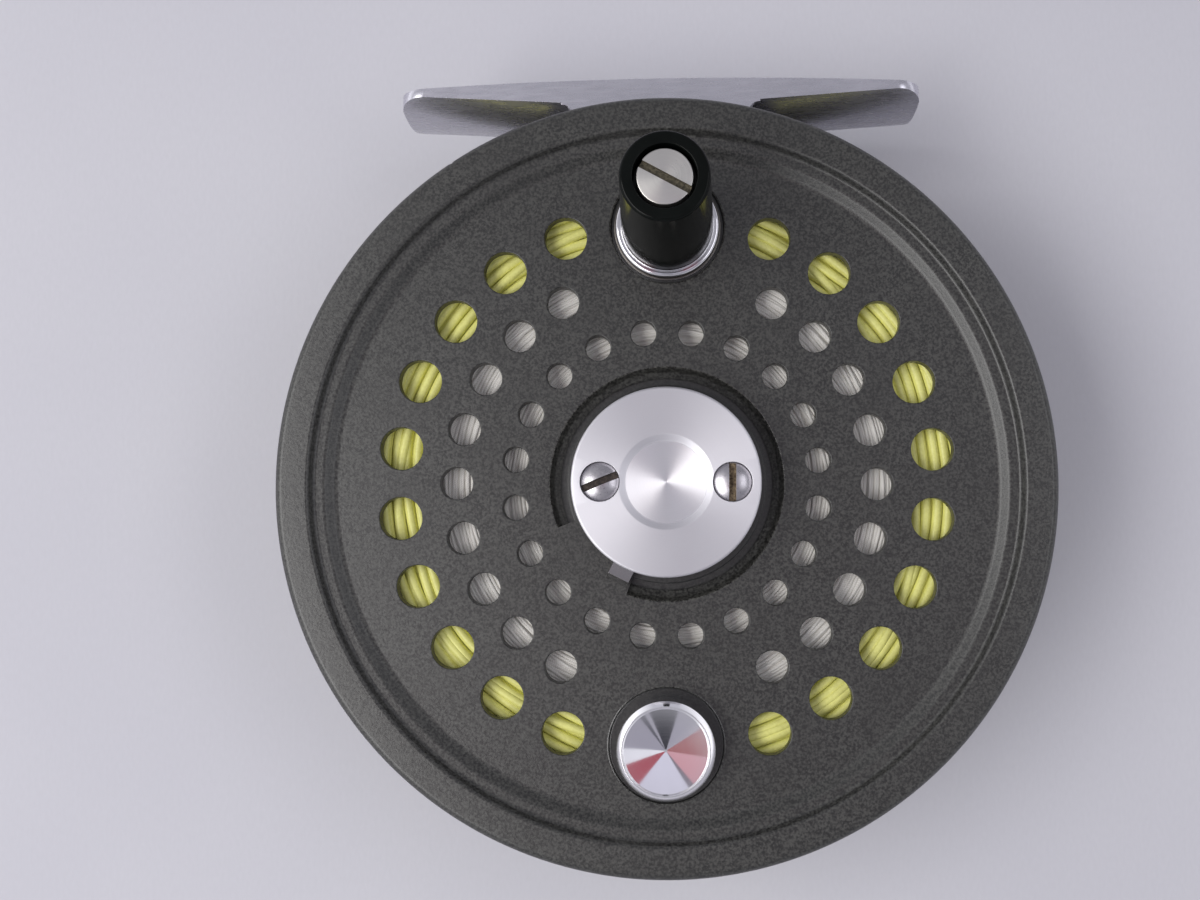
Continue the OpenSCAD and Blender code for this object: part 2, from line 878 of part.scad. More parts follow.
// Half-section of the spool's front, from the hub to the exposed rim
module face_section() {
    flat_in_r = rim_r - 3.9;
    ledge_z = face_z + rim_step * 0.45;
    roof_z = rim_z1 - face_t - 0.1;
    spigot_z0 = arbor_z1 - 2;
    hub_out_r = 14.6;
    hub_taper = 0.6;
    bore_z1 = bush_z1 + 0.1;
    difference() {
        polygon([
            [bush_r + run, arbor_z1],
            [hub_r + fit, arbor_z1],
            [hub_r + fit, spigot_z0],
            [drum_in_r - fit, spigot_z0],
            [drum_in_r - fit, arbor_z1],
            [hub_out_r, arbor_z1],
            [hub_out_r + hub_taper, face_z0],
            [flat_in_r - 1.5, face_z0],
            [flat_in_r - 0.1, roof_z],
            [skirt_in_r, roof_z],
            [skirt_in_r, skirt_z0],
            [rim_r, skirt_z0],
            [rim_r, rim_z1],
            [flat_in_r, rim_z1],
            [flat_in_r - 0.5, ledge_z],
            [flat_in_r - 1.7, ledge_z],
            [flat_in_r - 2.8, face_z],
            [groove_out_r, face_z],
            [groove_out_r - 0.8, face_z - groove_depth],
            [boss_step_r, face_z - groove_depth],
            [boss_step_r, boss_step_z],
            [boss_r, boss_step_z],
            [boss_r, boss_z1],
            [0, boss_z1],
            [0, bore_z1],
            [bush_r + run, bore_z1]
        ]);
        corner_cut(rim_r, rim_z1, 1);
        translate([0, 2 * skirt_z0]) mirror([0, 1]) corner_cut(rim_r, skirt_z0, 0.6);
    }
}

// Front of the spool: perforated face, exposed rim and the boss that holds the latch
module spool_face() {
    island_r = 1.75;
    window_in_r = pocket_r - 1.2;
    color([0.27, 0.27, 0.26])
        difference() {
            union() {
                difference() {
                    rotate_extrude() face_section();
                    rod(pocket_r, pocket_z, boss_z1 + eps);
                }
                for (x = [-cover_screw_x, cover_screw_x])
                    translate([x, 0, 0])
                        rod(island_r, pocket_z - eps, boss_z1);
                intersection() {
                    tube(boss_r - 0.2, groove_out_r, face_z - groove_depth - eps, face_z);
                    sector(land_from, land_to, groove_out_r, face_z - groove_depth - eps, face_z);
                }
            }
            rod(hub_clear_r, arbor_z1, pocket_z + eps);
            face_holes();
            crank_holes();
            for (x = [-cover_screw_x, cover_screw_x])
                translate([x, 0, 0])
                    rod(cover_screw_r + fit, arbor_z1 - eps, boss_z1 + eps);
            translate(concat(latch_pivot, 0))
                rod(latch_pin_r + fit, latch_pin_z0 - eps, pocket_z + eps);
            intersection() {
                tube(window_in_r, boss_r + eps, pocket_z, boss_z1 + eps);
                sector(window_from, window_to, boss_r, pocket_z, boss_z1 + eps);
            }
        }
}

// The three rings of holes through the face
module face_holes() {
    for (side = [0, 180])
        for (i = [0 : 9])
            translate(concat(polar(outer_ring_r, side + (i - 4.5) * 15), 0))
                rod(outer_hole_d / 2, face_z0 - 1, face_z + 1);
    for (side = [0, 180])
        for (i = [0 : 8])
            translate(concat(polar(middle_ring_r, side + (i - 4) * 15), 0))
                rod(middle_hole_d / 2, face_z0 - 1, face_z + 1);
    for (i = [0 : 19])
        translate(concat(polar(inner_ring_r, (i + 0.5) * 18), 0))
            rod(inner_hole_d / 2, face_z0 - 1, face_z + 1);
}

// Recesses and rivet holes for the handle and the counterweight
module crank_holes() {
    chamfer = 0.2;
    for (y = [crank_r, -crank_r])
        translate([0, y, 0]) {
            rod(recess_r, recess_z, face_z + eps);
            translate([0, 0, face_z - chamfer])
                cylinder(r1 = recess_r, r2 = recess_r + chamfer + eps, h = chamfer + eps);
            rod(crank_pin_r + fit, face_z0 - eps, face_z);
            rivet_end(face_z0, 2 * fit);
        }
}

// Arbor: hub tube and line drum joined by a web at the back
module spool_arbor() {
    web = 3;
    color([0.27, 0.27, 0.26])
        difference() {
            rotate_extrude()
                polygon([
                    [bush_r + run, flange_z1],
                    [drum_r, flange_z1],
                    [drum_r, arbor_z1],
                    [drum_in_r, arbor_z1],
                    [drum_in_r, flange_z1 + web],
                    [hub_r, flange_z1 + web],
                    [hub_r, arbor_z1],
                    [bush_r + run, arbor_z1]
                ]);
            for (a = gear_screw_angles)
                translate(concat(polar(gear_screw_ring_r, a), 0))
                    rod(gear_screw_r + fit, flange_z1 - eps, flange_z1 + gear_thread + 0.2);
        }
}

// Rear flange of the spool, drilled with the same outer and middle rings
module spool_rear_flange() {
    color([0.27, 0.27, 0.26])
        difference() {
            tube(bush_r + run, flange_r, flange_z0, flange_z1);
            for (i = [0 : 23])
                translate(concat(polar(outer_ring_r, (i + 0.5) * 15), 0))
                    rod(outer_hole_d / 2, flange_z0 - eps, flange_z1 + eps);
            for (i = [0 : 23])
                translate(concat(polar(middle_ring_r, i * 15), 0))
                    rod(middle_hole_d / 2, flange_z0 - eps, flange_z1 + eps);
            for (a = gear_screw_angles)
                translate(concat(polar(gear_screw_ring_r, a), 0))
                    rod(gear_screw_r + fit, flange_z0 - eps, flange_z1 + eps);
        }
}

// Outline of the ratchet gear, with a gap on each multiple of the tooth pitch
module gear_outline() {
    pitch = 360 / teeth;
    tip_half = asin(tooth_tip_half / gear_tip_r);
    root_half = asin(gap_root_half / gear_root_r);
    polygon([
        for (i = [0 : teeth - 1])
            for (corner = [
                [gear_root_r, -root_half],
                [gear_root_r, root_half],
                [gear_tip_r, pitch / 2 - tip_half],
                [gear_tip_r, pitch / 2 + tip_half]
            ])
                polar(corner[0], i * pitch + corner[1])
    ]);
}

// Ratchet gear on the back of the spool
module ratchet_gear() {
    color([0.8, 0.65, 0.35])
        difference() {
            union() {
                translate([0, 0, gear_z0])
                    linear_extrude(flange_z0 - gear_z0)
                        gear_outline();
                rod(gear_boss_r, shoulder_z1 + 0.08, gear_z0 + eps);
            }
            rod(hub_clear_r, shoulder_z1, flange_z0 + eps);
            for (a = gear_screw_angles)
                translate(concat(polar(gear_screw_ring_r, a), gear_z0))
                    sunk_hole(gear_screw_r, gear_head_r, gear_head_h, flange_z0 - gear_z0);
        }
}

// Screws that hold the gear and the rear flange to the arbor
module gear_screws() {
    length = flange_z1 - gear_z0 + gear_thread;
    slot_w = 0.5;
    color([0.75, 0.75, 0.74])
        for (a = gear_screw_angles)
            translate(concat(polar(gear_screw_ring_r, a), gear_z0))
                sunk_screw(gear_screw_r, gear_head_r, gear_head_h, length, slot_w, a);
}

// Wound backing, between the arbor and the fly line
module backing() {
    color([0.9, 0.9, 0.88])
        tube(drum_r + 0.05, backing_r - 0.05, flange_z1 + 0.1, arbor_z1 - 0.1);
}

// Wound fly line on top of the backing
module fly_line() {
    color([0.8, 0.8, 0.35])
        tube(backing_r, line_r, flange_z1 + 0.1, face_z0 - 0.3);
}

// Pin that the latch lever turns on
module latch_pin() {
    color([0.7, 0.7, 0.68])
        translate(concat(latch_pivot, 0))
            rod(latch_pin_r, latch_pin_z0, boss_z1 - eps);
}

// Torsion spring round the latch pin, with one leg towards the wall and one towards the lever's post
module latch_spring() {
    coil_r = 1.05;
    wire = 0.3;
    wall_leg = 0.9;
    post_leg = 3.2;
    color([0.6, 0.62, 0.66])
        translate(concat(latch_pivot, latch_z1 + 0.1)) {
            tube(coil_r, coil_r + wire, 0, wire);
            translate([0, coil_r, 0])
                cube([wall_leg, wire, wire]);
            rotate(link_angle)
                translate([0, -coil_r - wire, 0])
                    cube([post_leg, wire, wire]);
        }
}

// Latch lever: a plate round the spindle whose hole's edge bites into the groove
module latch_lever() {
    tab_dir = polar(1, from_top(tab_angle));
    tab_x0 = 3.4;
    post_r = 0.35;
    post_h = 0.7;
    color([0.72, 0.72, 0.73]) {
        difference() {
            translate([0, 0, latch_z0])
                linear_extrude(latch_z1 - latch_z0)
                    difference() {
                        union() {
                            translate(latch_rest) circle(latch_ring_r);
                            translate(latch_pivot) circle(1.5);
                            translate(latch_pivot)
                                rotate(link_angle)
                                    translate([0, -latch_arm_w / 2])
                                        square([5, latch_arm_w]);
                            rotate(from_top(tab_angle))
                                translate([tab_x0, -latch_arm_w / 2])
                                    square([latch_tab_r - tab_x0, latch_arm_w]);
                        }
                        translate(latch_rest) circle(latch_hole_r);
                        translate(latch_pivot) circle(latch_pin_r + run);
                    }
            translate(concat(tab_dir * latch_tab_r, latch_z1))
                rotate(from_top(tab_angle))
                    rotate([0, 45, 0])
                        cube([0.9, latch_arm_w + 1, 0.9], center = true);
        }
        translate(concat(latch_pivot, 0))
            rotate(link_angle)
                translate([2.6, -0.3, 0])
                    rod(post_r, latch_z1 - eps, latch_z1 + post_h);
    }
}

// Turned cover over the latch
module hub_cover() {
    edge = 0.25;
    color([0.8, 0.8, 0.82])
        difference() {
            rotate_extrude()
                polygon([
                    [0, boss_z1],
                    [cover_r - edge, boss_z1],
                    [cover_r, boss_z1 + edge],
                    [cover_r, cover_z1 - edge],
                    [cover_r - edge, cover_z1],
                    [dimple_r, cover_z1],
                    [dimple_floor_r, cover_z1 - dimple_depth],
                    [0, cover_z1 - dimple_depth - dimple_cone]
                ]);
            for (x = [-cover_screw_x, cover_screw_x])
                translate([x, 0, 0]) {
                    rod(cover_screw_r + fit, boss_z1 - eps, cover_z1 + eps);
                    rod(cover_sink_r, cover_sink_z, cover_z1 + eps);
                }
        }
}

// Domed slotted screws of the hub cover
module cover_screws() {
    head_h = 0.8;
    dome_h = 0.6;
    slot_depth = 0.8;
    slot_reach = cover_head_r + 1;
    head_top = cover_sink_z + head_h + dome_h;
    color([0.75, 0.75, 0.76])
        for (i = [0, 1])
            translate([(2 * i - 1) * cover_screw_x, 0, 0])
                difference() {
                    union() {
                        rod(cover_screw_r, cover_screw_z0, cover_sink_z + eps);
                        translate([0, 0, cover_sink_z + head_h])
                            domed_head(cover_head_r, head_h, dome_h);
                    }
                    translate([0, 0, head_top - slot_depth])
                        rotate(cover_slot_angles[i])
                            translate([-slot_reach, -cover_slot_w / 2, 0])
                                cube([2 * slot_reach, cover_slot_w, slot_depth + eps]);
                }
}

// Stepped plate under the handle
module handle_plate() {
    flange_out_r = 6.5;
    flange_h = 0.4;
    step_r = 6.15;
    bevel = 0.3;
    color([0.8, 0.8, 0.82])
        translate([0, crank_r, 0])
            rotate_extrude()
                polygon([
                    [crank_pin_r + fit, recess_z],
                    [flange_out_r, recess_z],
                    [flange_out_r, recess_z + flange_h],
                    [step_r, recess_z + flange_h],
                    [step_r, plate_z1 - bevel],
                    [step_r - bevel, plate_z1],
                    [crank_pin_r + fit, plate_z1]
                ]);
}

// Thin washer that the grip turns against
module handle_washer() {
    washer_r = 5.75;
    color([0.75, 0.75, 0.76])
        translate([0, crank_r, 0])
            tube(crank_pin_r + fit, washer_r, plate_z1, washer_z1);
}

// Post that the grip turns on, riveted into the face
module handle_spindle() {
    color([0.7, 0.7, 0.68])
        translate([0, crank_r, 0])
            difference() {
                union() {
                    rivet_end(face_z0 + 0.02, 0);
                    rod(crank_pin_r, face_z0 + 0.02, crank_pin_z1);
                }
                rod(crank_bore_r, crank_pin_z1 - crank_bore_depth, crank_pin_z1 + eps);
            }
}

// Screw that keeps the grip on its post
module handle_screw() {
    slot_w = 0.8;
    slot_depth = 0.7;
    head_gap = 0.12;
    color([0.75, 0.74, 0.72])
        translate([0, crank_r, 0])
            rotate(grip_slot_angle)
            difference() {
                union() {
                    rod(crank_bore_r - fit, crank_pin_z1 - crank_bore_depth + 0.5,
                        crank_pin_z1 + head_gap + eps);
                    rod(grip_screw_r, crank_pin_z1 + head_gap, grip_screw_z1);
                }
                translate([-grip_screw_r - 1, -slot_w / 2, grip_screw_z1 - slot_depth])
                    cube([2 * grip_screw_r + 2, slot_w, slot_depth + eps]);
            }
}

// Tapered grip that turns on the handle's post
module handle_grip() {
    edge = 0.35;
    color([0.06, 0.08, 0.07])
        translate([0, crank_r, 0])
            rotate_extrude()
                polygon([
                    [grip_liner_r + fit, grip_z0],
                    [grip_base_r - edge, grip_z0],
                    [grip_base_r, grip_z0 + edge],
                    [grip_tip_r, grip_z1 - edge],
                    [grip_tip_r - edge, grip_z1],
                    [grip_sink_r, grip_z1],
                    [grip_sink_r, grip_sink_z],
                    [grip_liner_r + fit, grip_sink_z]
                ]);
}

// Liner pressed into the grip
module grip_bush() {
    color([0.8, 0.62, 0.3])
        translate([0, crank_r, 0])
            tube(crank_pin_r + run, grip_liner_r, grip_z0, crank_pin_z1 + 0.05);
}

// Turned weight opposite the handle, with a bright edge and a shallow dished face
module counterweight() {
    lip_r = 4.95;
    color([0.82, 0.82, 0.84])
        translate([0, -crank_r, 0]) {
            rotate_extrude()
                polygon([
                    [0, recess_z],
                    [weight_r, recess_z],
                    [weight_r, weight_z1 - 0.55],
                    [lip_r + 0.15, weight_z1],
                    [lip_r, weight_z1],
                    [lip_r - 0.15, weight_z1 - 0.25],
                    [0, weight_z1 - 0.75]
                ]);
            rod(crank_pin_r, face_z0 + 0.02, recess_z + eps);
            rivet_end(face_z0 + 0.02, 0);
        }
}

back_plate();
front_ring();
pillars();
foot_bridge();
rear_frame_screws();
front_frame_screws();
foot();
foot_screws();
spindle();
spindle_washer();
spindle_nut();
pawl_studs();
pawl_clips();
check_spring();
spring_block();
spring_block_screws();
slide_posts();
click_washer();
regulator_knob();
regulator_cam();
regulator_screw();
tension_slide();
active_pawl();
spare_pawl();
spool_bush();
on_face() spool_face();
spool_arbor();
spool_rear_flange();
ratchet_gear();
gear_screws();
backing();
fly_line();
on_face() latch_pin();
on_face() latch_spring();
on_face() hub_cover();
on_face() cover_screws();
on_face() handle_plate();
on_face() handle_washer();
on_face() handle_spindle();
on_face() handle_screw();
on_face() counterweight();
on_face() latch_lever();
on_face() handle_grip();
on_face() grip_bush();
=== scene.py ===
# Fly reel: the visual model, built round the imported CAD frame.
# Meshes are built in millimetres and scaled to metres when they are placed.
import math
import random

import bmesh
import bpy
import numpy as np
from mathutils import Matrix, Vector


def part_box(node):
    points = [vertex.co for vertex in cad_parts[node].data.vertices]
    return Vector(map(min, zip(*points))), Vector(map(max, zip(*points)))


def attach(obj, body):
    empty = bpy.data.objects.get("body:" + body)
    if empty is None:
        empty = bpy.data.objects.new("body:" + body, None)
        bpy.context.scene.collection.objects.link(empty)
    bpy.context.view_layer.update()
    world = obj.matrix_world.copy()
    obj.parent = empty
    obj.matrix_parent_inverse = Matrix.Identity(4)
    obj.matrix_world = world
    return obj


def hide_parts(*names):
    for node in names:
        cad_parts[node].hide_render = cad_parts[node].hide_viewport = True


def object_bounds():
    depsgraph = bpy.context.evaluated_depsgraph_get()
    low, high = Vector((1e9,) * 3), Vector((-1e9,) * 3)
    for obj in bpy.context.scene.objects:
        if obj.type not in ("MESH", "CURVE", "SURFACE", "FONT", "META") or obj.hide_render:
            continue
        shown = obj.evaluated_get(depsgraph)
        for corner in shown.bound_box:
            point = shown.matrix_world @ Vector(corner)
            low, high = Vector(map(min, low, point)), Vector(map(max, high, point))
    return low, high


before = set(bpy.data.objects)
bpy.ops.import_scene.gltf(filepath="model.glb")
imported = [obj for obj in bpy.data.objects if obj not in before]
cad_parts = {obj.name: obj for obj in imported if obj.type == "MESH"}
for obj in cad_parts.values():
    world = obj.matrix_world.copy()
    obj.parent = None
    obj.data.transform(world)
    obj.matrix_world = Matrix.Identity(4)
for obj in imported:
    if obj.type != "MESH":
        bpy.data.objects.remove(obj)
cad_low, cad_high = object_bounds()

MM = 0.001
TAU = 2 * math.pi


# ---------------------------------------------------------------- places from the frame

def centre_of(node):
    low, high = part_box(node)
    return (low + high) / (2 * MM)


def top_of(node):
    return round(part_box(node)[1].z / MM, 3)


def bottom_of(node):
    return round(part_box(node)[0].z / MM, 3)


def radius_of(node):
    low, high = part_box(node)
    return (high.x - low.x) / (2 * MM)


handle_at = centre_of("handle_grip").to_2d()
weight_at = centre_of("counterweight").to_2d()
crank_r = handle_at.length
# The spool's front rests turned clockwise by this angle, so the pieces on it are built unturned
spool_rest = math.atan2(handle_at.x, handle_at.y)
UNTURNED = Matrix.Rotation(-spool_rest, 4, "Z")

rim_r = radius_of("spool_face")
boss_top = top_of("spool_face")
cover_top = top_of("hub_cover")
# The handle plate and the counterweight stand in recesses of the face
recess_z = bottom_of("handle_plate")
recess_depth = 0.5
face_z = recess_z + recess_depth
recess_r = 6.7
# Bore of what is riveted to the face, and of what the rivet holds
rivet_r = 2.02
# The two screws of the hub cover, and every slot's half width
cover_screw_x = 7.5
cover_screw_r = 0.94
slot_half = 0.4


# ---------------------------------------------------------------- mesh work, in millimetres

def filleted(profile, steps=5):
    """Points of a closed outline of (r, z, corner radius), with its corners rounded"""
    points = []
    count = len(profile)
    for i, (r, z, radius) in enumerate(profile):
        corner = Vector((r, z))
        if not radius:
            points.append(corner)
            continue
        to_last = Vector(profile[i - 1][:2]) - corner
        to_next = Vector(profile[(i + 1) % count][:2]) - corner
        room = 0.48 * min(to_last.length, to_next.length)
        a, b = to_last.normalized(), to_next.normalized()
        half = a.angle(b) / 2
        reach = min(radius / math.tan(half), room)
        radius = reach * math.tan(half)
        middle = corner + (a + b).normalized() * (radius / math.sin(half))
        start, end = corner + a * reach - middle, corner + b * reach - middle
        first = math.atan2(start.y, start.x)
        sweep = (math.atan2(end.y, end.x) - first + math.pi) % TAU - math.pi
        for k in range(steps + 1):
            angle = first + sweep * k / steps
            points.append(middle + radius * Vector((math.cos(angle), math.sin(angle))))
    return points


def lathe(profile, centre=(0, 0), segments=256):
    """Closed outline of (r, z) turned about a vertical axis"""
    verts, rings = [], []
    for r, z in profile:
        if r < 1e-6:
            rings.append([len(verts)])
            verts.append((centre[0], centre[1], z))
            continue
        rings.append(list(range(len(verts), len(verts) + segments)))
        for k in range(segments):
            angle = TAU * k / segments
            verts.append((centre[0] + r * math.cos(angle), centre[1] + r * math.sin(angle), z))
    faces = []
    for i, ring in enumerate(rings):
        after = rings[(i + 1) % len(rings)]
        if len(ring) == 1 and len(after) == 1:
            continue
        for k in range(segments):
            j = (k + 1) % segments
            if len(ring) == 1:
                faces.append((ring[0], after[k], after[j]))
            elif len(after) == 1:
                faces.append((ring[k], after[0], ring[j]))
            else:
                faces.append((ring[k], after[k], after[j], ring[j]))
    return verts, faces


def rod(r, z0, z1, centre=(0, 0), segments=64):
    return lathe([(0, z0), (r, z0), (r, z1), (0, z1)], centre, segments)


def prism(outline, z0, z1):
    """Outline of (x, y) drawn up from z0 to z1"""
    n = len(outline)
    verts = [(x, y, z) for z in (z0, z1) for x, y in outline]
    sides = [(i, (i + 1) % n, n + (i + 1) % n, n + i) for i in range(n)]
    return verts, [tuple(range(n)), tuple(range(n, 2 * n)), *sides]


def ring_sector(r0, r1, from_top, to_top, z0, z1, steps=24):
    """Part of a ring between two angles clockwise from +Y"""
    angles = [math.radians(90 - from_top - (to_top - from_top) * k / steps) for k in range(steps + 1)]
    outer = [(r1 * math.cos(a), r1 * math.sin(a)) for a in angles]
    inner = [(r0 * math.cos(a), r0 * math.sin(a)) for a in reversed(angles)]
    return prism(outer + inner, z0, z1)


def flare(r, rounding, z):
    """Points up the wall of a hole of radius r, whose edge is rounded where it opens at z"""
    return [(r + rounding * (1 + math.cos(a)), z - rounding * (1 - math.sin(a)))
            for a in (math.radians(180 - 17 * k) for k in range(6))]


def hole_cutter(r, rounding, z0, z1, centre, segments=64, stem=()):
    """Cutter for a hole with a rounded edge at z1, and with a thinner stem of (radius, lower end) under it
    if one is given. It is one shell, because the cutters of one cut mustn't overlap"""
    foot = [(0, stem[1]), stem, (stem[0], z0)] if stem else [(0, z0)]
    wall = flare(r, rounding, z1)
    return lathe([*foot, (r, z0), *wall, (wall[-1][0], z1 + 1), (0, z1 + 1)], centre, segments)


def slot_cutter(angle, half_length, z0, z1):
    """Cutter for a screw's slot, which lies at an angle from +X"""
    c, s = math.cos(angle), math.sin(angle)
    corners = [(-half_length, -slot_half), (half_length, -slot_half), (half_length, slot_half),
               (-half_length, slot_half)]
    return prism([(x * c - y * s, x * s + y * c) for x, y in corners], z0, z1)


def off_slot(p, angle):
    """Distance of a point from the slot's middle line"""
    return abs(p.y * math.cos(angle) - p.x * math.sin(angle))


def along_slot(p, angle):
    """Distance of a point from the screw's axis, measured along the slot"""
    return abs(p.x * math.cos(angle) + p.y * math.sin(angle))


def face_outwards(mesh):
    shape = bmesh.new()
    shape.from_mesh(mesh)
    bmesh.ops.recalc_face_normals(shape, faces=shape.faces)
    shape.to_mesh(mesh)
    shape.free()


def add_object(name, data):
    made = bpy.data.objects.new(name, data)
    bpy.context.scene.collection.objects.link(made)
    return made


def solid(name, *parts):
    """Object made of closed shells, with every face outwards"""
    verts, faces = [], []
    for part_verts, part_faces in parts:
        faces += [tuple(len(verts) + i for i in face) for face in part_faces]
        verts += part_verts
    mesh = bpy.data.meshes.new(name)
    mesh.from_pydata(verts, [], faces)
    face_outwards(mesh)
    return add_object(name, mesh)


def combine(target, operation, *parts):
    """Adds the parts to the target or cuts them from it, and keeps the result as its mesh"""
    tool = solid("tool", *parts)
    step = target.modifiers.new("combine", "BOOLEAN")
    step.operation = operation
    step.solver = "MANIFOLD"
    step.object = tool
    graph = bpy.context.evaluated_depsgraph_get()
    result = bpy.data.meshes.new_from_object(target.evaluated_get(graph))
    target.modifiers.clear()
    target.data = result
    bpy.data.objects.remove(tool)
    return target


def paint(obj, index, inside):
    """Gives the faces whose middle is inside, in millimetres, another of the object's materials"""
    for face in obj.data.polygons:
        face.material_index = index if inside(face.center) else face.material_index


def hand_over(obj, body, slot, *replaced):
    """Lets a piece ride on its body, in place of CAD nodes. The slot is not used"""
    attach(obj, body)
    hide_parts(*replaced)


def place(obj, body, slot, replaced, at=(0, 0), looks=()):
    """Scales a finished mesh to metres, turns it with the spool, shades it and hands it to its body. The
    looks are the second and later materials"""
    mesh = obj.data
    mesh.transform(UNTURNED @ Matrix.Scale(MM, 4))
    kept = [face.material_index for face in mesh.polygons]
    mesh.materials.clear()
    for material in (LOOKS[slot], *looks):
        mesh.materials.append(material)
    mesh.polygons.foreach_set("material_index", kept)
    mesh.shade_smooth()
    mesh.set_sharp_from_angle(angle=math.radians(32))
    normals = obj.modifiers.new("even shading", "WEIGHTED_NORMAL")
    normals.keep_sharp = True
    normals.weight = 90
    obj.matrix_world = Matrix.Translation((at[0] * MM, at[1] * MM, 0))
    hand_over(obj, body, slot, replaced)


# ---------------------------------------------------------------- materials

class Nodes:
    """Node tree with short ways to add to it"""

    def __init__(self, tree):
        self.tree = tree

    def set(self, node, inputs):
        for key, value in inputs.items():
            if isinstance(value, bpy.types.NodeSocket):
                self.tree.links.new(value, node.inputs[key])
            elif isinstance(value, tuple) and len(value) == 3 and node.inputs[key].type == "RGBA":
                node.inputs[key].default_value = (*value, 1)
            else:
                node.inputs[key].default_value = value
        return node

    def node(self, kind, inputs=None, **attributes):
        made = self.tree.nodes.new("ShaderNode" + kind)
        for key, value in attributes.items():
            setattr(made, key, value)
        return self.set(made, inputs or {})

    def math(self, operation, a, b=0.0, clamp=False):
        return self.node("Math", {0: a, 1: b}, operation=operation, use_clamp=clamp).outputs[0]

    def span(self, value, low, high, to_low=0.0, to_high=1.0):
        """Value mapped from low..high to to_low..to_high, and clamped"""
        inputs = {"Value": value, 1: low, 2: high, 3: to_low, 4: to_high}
        return self.node("MapRange", inputs, clamp=True).outputs[0]

    def mix(self, share, a, b):
        return self.node("Mix", {0: share, 6: a, 7: b}, data_type="RGBA").outputs[2]


class Look(Nodes):
    """Material whose surface is made of nodes, in the object's own coordinates"""

    def __init__(self, name, metallic=0.0, roughness=0.5):
        self.material = bpy.data.materials.new(name)
        self.material.use_nodes = True
        super().__init__(self.material.node_tree)
        self.shader = self.tree.nodes["Principled BSDF"]
        self.set(self.shader, {"Metallic": metallic, "Roughness": roughness})
        self.place = self.node("TexCoord").outputs["Object"]

    def grain(self, size, detail=2.0, roughness=0.5, vector=None, stretch=None):
        """Noise whose features are about size millimetres"""
        vector = vector or self.place
        if stretch:
            vector = self.node("Mapping", {"Vector": vector, "Scale": stretch}).outputs[0]
        inputs = {"Vector": vector, "Scale": 1 / (size * MM), "Detail": detail, "Roughness": roughness}
        return self.node("TexNoise", inputs).outputs[0]

    def bump(self, height, depth, strength=1.0, after=None):
        """Bump of depth millimetres"""
        inputs = {"Height": height, "Distance": depth * MM, "Strength": strength}
        if after:
            inputs["Normal"] = after
        return self.node("Bump", inputs).outputs[0]

    def use(self, **inputs):
        self.set(self.shader, {key.replace("_", " "): value for key, value in inputs.items()})
        return self.material

    def round_axis(self):
        """Distance from the object's own vertical axis, and the direction away from it"""
        flat = self.node("VectorMath", {0: self.place, 1: (1, 1, 0)}, operation="MULTIPLY").outputs[0]
        distance = self.node("VectorMath", {0: flat}, operation="LENGTH").outputs["Value"]
        outwards = self.node("VectorTransform", {"Vector": flat}, vector_type="VECTOR",
                             convert_from="OBJECT", convert_to="WORLD").outputs[0]
        return distance, outwards


def enamel(name="grey enamel", share=1.0, gloss=1.0):
    """Stoved enamel; share below one darkens it as painted shade in grooves and recesses, and share above one
    lightens it on edges, partly as wear and partly as a painted highlight
    """
    look = Look(name)
    speckle = look.grain(0.3, 3, 0.65)
    cloud = look.grain(7, 2)
    tone = look.mix(look.span(speckle, 0.41, 0.61),
                    tuple(share * c for c in (0.0085, 0.0082, 0.0075)),
                    tuple(share * c for c in (0.056, 0.0555, 0.05)))
    tone = look.mix(look.span(cloud, 0.3, 0.7, 0, 0.35), tone,
                    tuple(share * c for c in (0.024, 0.0234, 0.0212)))
    chip = look.span(look.grain(0.45, 4, 0.7), 0.745, 0.77)
    tone = look.mix(look.math("MULTIPLY", chip, 0.7), tone, (0.42, 0.41, 0.4))
    roughness = look.span(look.grain(0.3, 2), 0.3, 0.7, 0.33 / gloss, 0.43 / gloss)
    normal = look.bump(look.grain(0.3, 2, 0.6), 0.028, 0.65)
    normal = look.bump(look.grain(0.9, 2), 0.025, 0.5, normal)
    return look.use(Base_Color=tone, Roughness=roughness, Normal=normal, Specular_IOR_Level=0.7)


def painted_slot_shade(name, light, dark):
    """Bottom of a screw's slot: dull metal whose dark patchy tone is painted shade, and whose brown and olive
    tints are painted reflections
    """
    look = Look(name, metallic=0.25, roughness=0.7)
    patchy_shade = look.grain(0.3, 3, 0.65)
    tone = look.mix(look.span(patchy_shade, 0.35, 0.7), dark, light)
    return look.use(Base_Color=tone, Normal=look.bump(patchy_shade, 0.03, 0.6))


def turned_metal(name, colour, roughness, ring, depth, anisotropy=0.75, uneven=0.1):
    """Metal turned on a lathe: fine rings round its axis, whose sheen spreads outwards"""
    look = Look(name, metallic=1.0)
    distance, outwards = look.round_axis()
    along = look.node("CombineXYZ", {"X": distance}).outputs[0]
    rings = look.grain(ring, 3, 0.7, along)
    soft = look.grain(3, 3)
    tone = look.mix(look.span(rings, 0.25, 0.75), tuple(c * (1 - uneven) for c in colour), colour)
    tone = look.mix(look.span(soft, 0.35, 0.75, 0, 0.25), tone, tuple(c * 0.86 for c in colour))
    rough = look.span(look.math("ADD", rings, look.math("MULTIPLY", soft, 0.4)), 0.4, 1.0,
                      roughness * 0.8, roughness * 1.25)
    normal = look.bump(rings, depth, 0.6)
    return look.use(Base_Color=tone, Roughness=rough, Normal=normal, Anisotropic=anisotropy,
                    Tangent=outwards)


